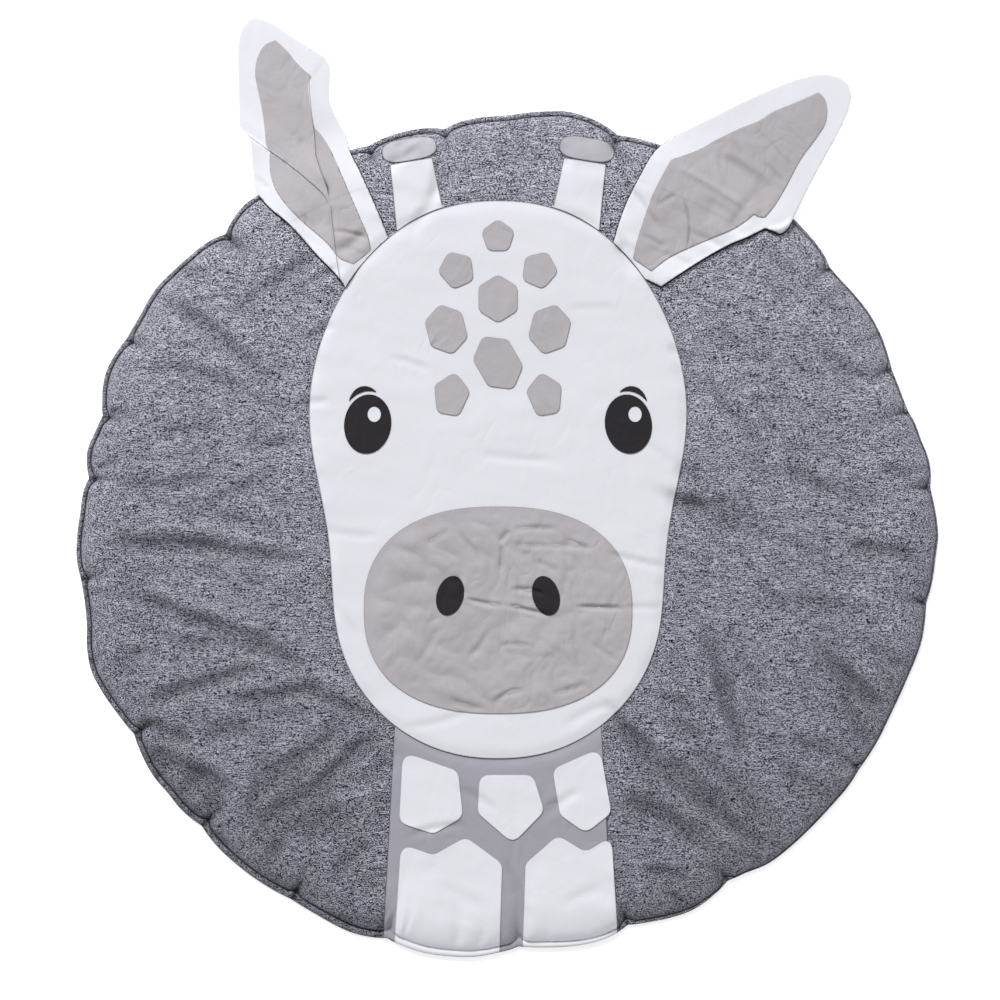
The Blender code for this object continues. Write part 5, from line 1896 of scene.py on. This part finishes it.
@dataclass
class RightEar:
    """The right ear, lying flat with soft diagonal creases, and its lining."""

    drape: EarDrape
    middle: tuple[float, float] = (0.232, 0.374)
    heading: float = 41.0
    lift: float = 0.0016
    edge_thin: float = 0.2
    # Painted shade in crease bottoms and along the edge on the mat, and the share of the painted
    # shading that evens the light
    crease_dark: float = 0.060
    edge_dark: float = 0.60
    evened: float = 0.6
    waves: Waves = Waves(0.0006, 31, 0.05, 0.13)

    def base(self, x: Array, y: Array) -> Array:
        """Height of the ear's underside, raised by what its deepest crease needs."""
        height = self.drape.height(x, y, self.lift) + self.waves.at(x, y)
        return above_floor(height + crease_relief(RIGHT_EAR_CREASES, x, y)) + 0.0005

    def build_layer(self, layer: EarLayer, step: float, wardrobe: Wardrobe, tint: float = 0.0,
                    cover: Border | None = None) -> None:
        """Builds one cloth of the ear: a square grid along the ear, ended at an outline.

        Args:
            layer: The cloth.
            step: The grid's step.
            wardrobe: The finishes.
            tint: Darker tone all over.
            cover: The edge of what lies on it, under which it sinks a little.
        """
        middle, outline = np.array(self.middle), layer.outline
        local = turned(outline - middle, -self.heading)
        spans = [np.arange(low - step, high + 2 * step, step)
                 for low, high in zip(local.min(0), local.max(0))]
        grid = np.stack(np.meshgrid(*spans, indexing="ij"), -1)
        plan, kept, clip = ended_at(outline, turned(grid, self.heading) + middle)
        x, y = plan[..., 0], plan[..., 1]
        ground = self.base(x, y) + layer.low
        if cover is not None:
            ground -= sunk_under(cover, x, y)
        half = np.where(clip, self.edge_thin, 1.0) * layer.thick / 2
        sides = [np.dstack((plan, ground + layer.thick / 2 + side * half)) for side in (1, -1)]
        worn = crease_shade(RIGHT_EAR_CREASES, x, y, self.crease_dark) + tint
        worn += self.edge_dark * self.drape.edge_painted_shadow(x, y, ground, clip)
        worn += self.evened * self.drape.evened(x, y)
        self.drape.hang(layer, sides, kept, np.clip(worn, -0.1, 0.9), wardrobe)

    def build(self, wardrobe: Wardrobe) -> None:
        """Builds the ear and its lining."""
        lining = even_outline(knot_outline(RIGHT_LINING), 420)
        layer = EarLayer("ear_lining_right", "ear_inner_right", Cloth.TAUPE, "ear_cloth_right",
                         lining, LEVEL_LOW[1], LEVEL_THICK[1])
        self.build_layer(layer, 0.00115, wardrobe, 0.045)
        outline = self.drape.ended_at_head(even_outline(knot_outline(RIGHT_EAR), 600))
        layer = EarLayer("ear_cloth_right", "ear_right", Cloth.WHITE, "mat_cover", outline,
                         LEVEL_LOW[0], LEVEL_THICK[0], tuple(self.drape.painted_shadow_strips(outline)))
        self.build_layer(layer, 0.0016, wardrobe, cover=Border(lining, self.middle))


@dataclass
class LeftEar:
    """The left ear: one cloth with a pleat across it, so that its tip lies over its root.

    tongue_end and pressed_from are places in the pleat's table of rows.
    """

    drape: EarDrape
    rows: int = 220
    tuck: float = 0.009
    lift: float = 0.0013
    sheet: float = 0.00055
    lining: float = 0.00028
    gap: float = 0.00010
    fall_run: float = 0.022
    under_run: float = 0.092
    top_run: float = 0.236
    step: float = 0.0020
    tongue_rise: float = 0.0013
    tongue_run: float = 0.020
    tongue_stations: int = 66
    pressed: float = 0.55
    right_stations: int = 122
    turn_points: int = 9
    first_station: float = 0.0004
    drop_stations: tuple[float, ...] = (0.0003, 0.0006, 0.0014)
    edge_thin: float = 0.35
    # crease_dark and edge_dark set painted shade in crease bottoms and along the edge on the mat
    crease_dark: float = 0.050
    edge_dark: float = 0.70
    tongue_end: float = 5.02
    pressed_from: float = 5.7
    # Painted shadow beside the tongue, below the pleat's apex and at it, and painted light along
    # the pleat's upper turn
    tongue_dark: tuple[float, ...] = (0.35, 0.50, 0.15)
    below_dark: float = 0.75
    apex_dark: float = 0.7
    turn_light: tuple[float, float] = (0.20, 0.08)
    waves: Waves = Waves(0.0005, 37, 0.05, 0.13)

    def over_turn(self) -> float:
        """Radius of the pleat's upper turn."""
        return (self.sheet + self.gap) / 2

    def turns(self) -> tuple[Array, Array]:
        """The lower part of the pleat's line: under layer, turn, middle layer and turn.

        Returns:
            Distances from the pleat's edge and heights, shape (count, 2), and left normals.
        """
        under_turn = self.gap * 2 + self.lining + self.sheet / 2
        over_turn = self.over_turn()
        level_0 = self.sheet / 2
        level_1 = level_0 + 2 * under_turn
        under = np.arange(-self.under_run, self.tuck, self.step)
        half = np.radians(np.linspace(-90, 90, self.turn_points))
        away, up = np.cos(half), 1 + np.sin(half)
        line = np.vstack((
            np.stack((under, np.full_like(under, level_0)), 1),
            np.stack((self.tuck + under_turn * away, level_0 + under_turn * up), 1),
            np.stack((np.linspace(self.tuck, 0, 5)[1:-1], np.full(3, level_1)), 1),
            np.stack((-over_turn * away, level_1 + over_turn * up), 1),
        ))
        runs = np.diff(line, axis=0)
        runs /= np.linalg.norm(runs, axis=1)[:, None]
        normals = np.stack((-runs[:, 1], runs[:, 0]), 1)
        before, after = np.vstack((normals[:1], normals)), np.vstack((normals, ((0.0, 1.0),)))
        return line, (before + after) / (1 + (before * after).sum(1))[:, None]

    def pleat_rows(self) -> tuple[Array, Array, Array]:
        """The pleat's edge and layer headings as a smooth curve through the table's rows.

        Each part is a cubic whose slope at a row is half the step between its neighbours.

        Returns:
            Points and unit headings, shape (rows, 2), and each row's place in the table.
        """
        table = np.array(PLEAT)
        padded = np.vstack((2 * table[0] - table[1], table, 2 * table[-1] - table[-2]))
        place = np.linspace(0, len(table) - 1 - 1e-6, self.rows)
        at, share = place.astype(int), (place % 1)[:, None]
        a, b, c, d = (padded[at + i] for i in range(4))
        bend = 2 * a - 5 * b + 4 * c - d + share * (3 * (b - c) + d - a)
        curve = b + 0.5 * share * (c - a + share * bend)
        way = np.radians(curve[:, 2])
        return curve[:, :2], rays(way), place

    @staticmethod
    def tongue_reach(edge: Array, way: Array, place: Array) -> Array:
        """How far each row's ray runs from the pleat to the tongue's right edge, else 0."""
        line = np.stack(on_chart(*np.array([(k.x, k.y) for k in TONGUE_EDGE]).T), 1)
        run = np.diff(line, axis=0)
        away = line[None, :-1] - edge[:, None]
        cross = way[:, None, 0] * run[None, :, 1] - way[:, None, 1] * run[None, :, 0]
        along = (away[..., 0] * run[None, :, 1] - away[..., 1] * run[None, :, 0]) / cross
        share = (away[..., 0] * way[:, None, 1] - away[..., 1] * way[:, None, 0]) / cross
        hit = (share >= -1e-6) & (share <= 1 + 1e-6) & (along > 0)
        far = 9.0
        reach = np.min(np.where(hit, along, far), 1)
        past = place > PLEAT_APEX + 0.02
        return np.where(past & (reach < far), reach, np.where(past, 0.2, 0.0))

    def beyond(self, *first: float) -> Array:
        """A column for the stations right of the tongue: the first few values, then zeros."""
        return np.array((*first, *(0.0,) * self.right_stations))[:, None]

    def grid(self) -> tuple[Array, Array, Array, Array, Array]:
        """The whole pleated cloth as a grid of stations by rows.

        The top layer's stations are spread so that one lies on the tongue's right edge in every
        row; there the cloth drops by the tongue's rise, which fades inwards over its run. Past the
        lining the fold is pressed flatter. Painted shade is dark beside the tongue, below the
        pleat's apex and at it, and painted light brightens the pleat's upper turn.

        Returns:
            Distances from the pleat's edge, heights, the normals' two parts, and painted shading.
        """
        line, normal = self.turns()
        edge, way, place = self.pleat_rows()
        reach = self.tongue_reach(edge, way, place)
        low, level = line[0, 1], line[-1, 1]
        share = np.linspace(0, 1, self.tongue_stations)[1:, None]
        tongue = self.first_station + share * reach
        rest = np.concatenate((self.drop_stations,
                               np.linspace(0.003, self.top_run, self.right_stations)))[:, None]
        top = np.vstack((tongue, tongue[-1] + rest * np.ones(self.rows)))
        height = level + (self.sheet / 2 - level) * ease((top - self.tuck) / self.fall_run)
        strong = ease((place - PLEAT_APEX) / 0.4) * (1 - ease((place - self.tongue_end) / 0.22))
        inwards = 1 - ease((reach - tongue) / self.tongue_run)
        raised = self.tongue_rise * strong * inwards * ease(tongue / 0.012)
        height += np.vstack((raised, self.beyond(0.25, 0.0, 0.0) * raised[-1]))
        height = np.vstack((np.repeat(line[:, 1:], self.rows, 1), height))
        fold = level - low - 2 * self.over_turn()
        folded = np.clip(height, low, low + fold) - low
        height -= self.pressed * ease((place - self.pressed_from) / 0.4) * folded
        # Painted shadow beside the tongue, below the pleat's apex and at it
        shut = self.beyond(*self.tongue_dark) * strong + 0.06 * strong * np.exp(-rest / 0.030)
        below = (1 - ease((place - PLEAT_APEX + 0.6) / 0.5)) * bell(rest, 0.0012)
        apex = bell(place - PLEAT_APEX - 0.22, 0.22) * bell(rest, 0.0028)
        shut += self.below_dark * below + self.apex_dark * apex
        # Painted light along the pleat's upper turn and the layer beside it
        turning = np.arange(len(line)) > len(line) - self.turn_points
        at_turn = np.where(turning, 1.0, bell(line[:, 0] + 0.0002, 0.0018))[:, None]
        light, more = self.turn_light
        lit = -at_turn * (light * ease((place - 3.9) / 1.2) + more * ease((place - 5.6) / 0.3))
        distance = np.vstack((np.repeat(line[:, :1], self.rows, 1), top))
        lean = np.vstack((normal, np.tile((0.0, 1.0), (len(top), 1))))
        worn = np.vstack((lit, np.zeros_like(tongue), shut))
        return distance, height, lean[:, :1], lean[:, 1:], worn

    def build_layer(self, layer: EarLayer, wardrobe: Wardrobe) -> None:
        """Builds one cloth of the ear: the grid carried along the pleat, ended at an outline."""
        distance, height, lean, up, worn = self.grid()
        edge, way, _ = self.pleat_rows()
        plan, kept, clip = ended_at(layer.outline, edge[None] + distance[..., None] * way[None])
        x, y = plan[..., 0], plan[..., 1]
        ground = self.drape.height(x, y, self.lift) + crease_relief(LEFT_EAR_CREASES, x, y)
        ground = above_floor(ground + self.waves.at(x, y))
        middle = layer.low + layer.thick / 2
        sides = []
        for offset in (layer.low + layer.thick, layer.low):
            shift = np.where(clip, middle + self.edge_thin * (offset - middle), offset)
            sideways = (shift * lean)[..., None] * way[None]
            sides.append(np.dstack((plan + sideways, ground + height + shift * up)))
        worn = worn + crease_shade(LEFT_EAR_CREASES, x, y, self.crease_dark)
        worn += self.edge_dark * self.drape.edge_painted_shadow(x, y, ground, clip)
        worn += self.drape.evened(x, y)
        self.drape.hang(layer, sides, kept, np.clip(worn, -0.5, 0.9), wardrobe, self.tuck)

    def build(self, wardrobe: Wardrobe) -> None:
        """Builds the ear and its lining."""
        lining = even_outline(knot_outline(LEFT_LINING), 420)
        layer = EarLayer("ear_lining_left", "ear_inner_left", Cloth.TAUPE, "ear_cloth_left",
                         lining, self.sheet / 2 + self.gap, self.lining)
        self.build_layer(layer, wardrobe)
        outline = self.drape.ended_at_head(even_outline(knot_outline(LEFT_EAR), 500))
        layer = EarLayer("ear_cloth_left", "ear_left", Cloth.WHITE, "mat_cover", outline,
                         -self.sheet / 2, self.sheet, tuple(self.drape.painted_shadow_strips(outline)))
        self.build_layer(layer, wardrobe)


# Stitching ----


@dataclass
class RimStitching:
    """The run of topstitches in the groove between the welt and the filled part."""

    front: MatFront
    length: float = 0.0026
    gap: float = 0.0011
    radius: float = 0.00030
    sides: int = 6
    lift: float = 0.0010
    inside_groove: float = 0.0002
    neck_clear: float = 0.127
    path_points: int = 7200
    stations: tuple[float, ...] = (0.0, 0.15, 0.5, 0.85, 1.0)
    swell: tuple[float, ...] = (0.25, 0.8, 1.0, 0.8, 0.25)

    def places(self) -> tuple[Array, Array]:
        """Plan places of every stitch's stations, each of shape (stitches, stations).

        The rim is walked in even steps, and the stitches under the neck cloth are left out.

        Returns:
            The x and the y coordinates.
        """
        angle = np.arange(self.path_points) * 2 * np.pi / self.path_points
        reach = self.front.radius(angle) - self.front.flange(np.degrees(angle)) + self.inside_groove
        path = reach[:, None] * rays(angle)
        run = np.concatenate(((0.0,), np.cumsum(np.linalg.norm(np.diff(path, axis=0), axis=1))))
        count = int(run[-1] / (self.length + self.gap))
        place = np.arange(count)[:, None] * run[-1] / count + np.array(self.stations) * self.length
        x, y = (np.interp(place, run, path[:, i], period=run[-1]) for i in (0, 1))
        bare = (np.abs(x[:, 2] - self.front.design.axis_x) > self.neck_clear) | (y[:, 2] > 0)
        return x[bare], y[bare]

    def build(self, wardrobe: Wardrobe) -> None:
        """Builds every stitch as a small spindle: loops of points along a half sine's arch."""
        x, y = self.places()
        count, rings, sides = len(x), len(self.stations), self.sides
        arch = np.broadcast_to(self.radius * np.sin(np.pi * np.array(self.stations)), x.shape)
        centre = np.stack((x, y, self.front.groove + self.lift + arch), -1)
        tangent = centre[:, -1] - centre[:, 0]
        tangent /= np.linalg.norm(tangent, axis=1)[:, None]
        side = np.stack((-tangent[:, 1], tangent[:, 0], np.zeros(count)), 1)
        thick = self.radius * np.array(self.swell)
        turn = (np.arange(sides) * 2 * np.pi / sides)[:, None]
        ring = np.cos(turn) * side[:, None, None] + np.sin(turn) * np.array((0, 0, 1.0))
        points = (centre[:, :, None] + thick[None, :, None, None] * ring).reshape(-1, 3)
        number = np.arange(rings * sides).reshape(rings, sides)
        beside = np.roll(number, -1, 1)
        quads = np.stack((number[:-1], beside[:-1], beside[1:], number[1:]), -1).reshape(-1, 4)
        caps = np.stack((number[0][::-1], number[-1]))
        start = (np.arange(count) * rings * sides)[:, None, None]
        faces = [(quads[None] + start).reshape(-1, 4), (caps[None] + start).reshape(-1, sides)]
        shell = Shell(points, faces, np.zeros(len(points)))
        settle(mesh_piece("rim_stitching", shell, wardrobe.thread))


# Studio ----


@dataclass
class Studio:
    """Pale floor, soft light from the top of the picture, and the camera straight above."""

    middle: tuple[float, float] = (-0.0105, 0.0368)
    lens: float = 100.0
    sensor: float = 36.0
    picture_width: float = 1000 * UNIT
    key_place: tuple[float, float, float] = (-2.50, 6.70, 5.60)
    key_power: float = 765.0
    key_size: float = 3.2
    fill: float = 0.42
    far: float = 20.0
    white: tuple[float, ...] = (1.0, 1.0, 1.0, 1.0)
    floor_colour: tuple[float, ...] = (0.93, 0.93, 0.93, 1.0)
    floor_glow: float = 0.55

    def build(self) -> None:
        """Builds the floor, the lights and the camera."""
        scene = bpy.context.scene
        scene.view_settings.view_transform = "Standard"
        self.build_floor()
        self.build_light(scene)
        data = bpy.data.cameras.new("straight_above")
        data.lens, data.sensor_width, data.clip_end = self.lens, self.sensor, self.far
        scene.camera = placed("straight_above", data)
        scene.camera.location = (*self.middle, self.picture_width * self.lens / self.sensor)

    def build_floor(self) -> None:
        """Builds a wide white floor that glows a little."""
        mesh, far = bpy.data.meshes.new("studio_floor"), self.far
        corners = [(-far, -far, 0), (far, -far, 0), (far, far, 0), (-far, far, 0)]
        mesh.from_pydata(corners, [], [(0, 1, 2, 3)])
        material, _, shader = shader_of("white_paper_floor")
        set_inputs(shader, Base_Color=self.floor_colour, Roughness=0.95, Specular_IOR_Level=0.0,
                   Emission_Color=self.white, Emission_Strength=self.floor_glow)
        mesh.materials.append(material)
        placed("studio_floor", mesh)

    def build_light(self, scene: Scene) -> None:
        """Builds the even fill and the large key light, turned to the mat."""
        scene.world = bpy.data.worlds.new("studio_world")
        scene.world.use_nodes = True
        set_inputs(scene.world.node_tree.nodes["Background"], Color=self.white, Strength=self.fill)
        light = bpy.data.lights.new("key_light", "AREA")
        light.shape, light.size, light.energy = "DISK", self.key_size, self.key_power
        key = placed("key_light", light)
        key.location = self.key_place
        key.rotation_euler = (-Vector(self.key_place)).to_track_quat("-Z", "Y").to_euler()


def main() -> None:
    """Builds the mat and everything on it, then the studio."""
    logging.basicConfig(level=logging.INFO, format="%(message)s")
    wardrobe = Wardrobe()
    front = MatFront()
    MatCover(front).build(wardrobe)
    FaceCloths(front).build(wardrobe)
    NeckCloths(front).build(wardrobe)
    HornCloths(front).build(wardrobe)
    drape = EarDrape(front)
    RightEar(drape).build(wardrobe)
    LeftEar(drape).build(wardrobe)
    RimStitching(front).build(wardrobe)
    Studio().build()


if __name__ == "__main__":
    main()
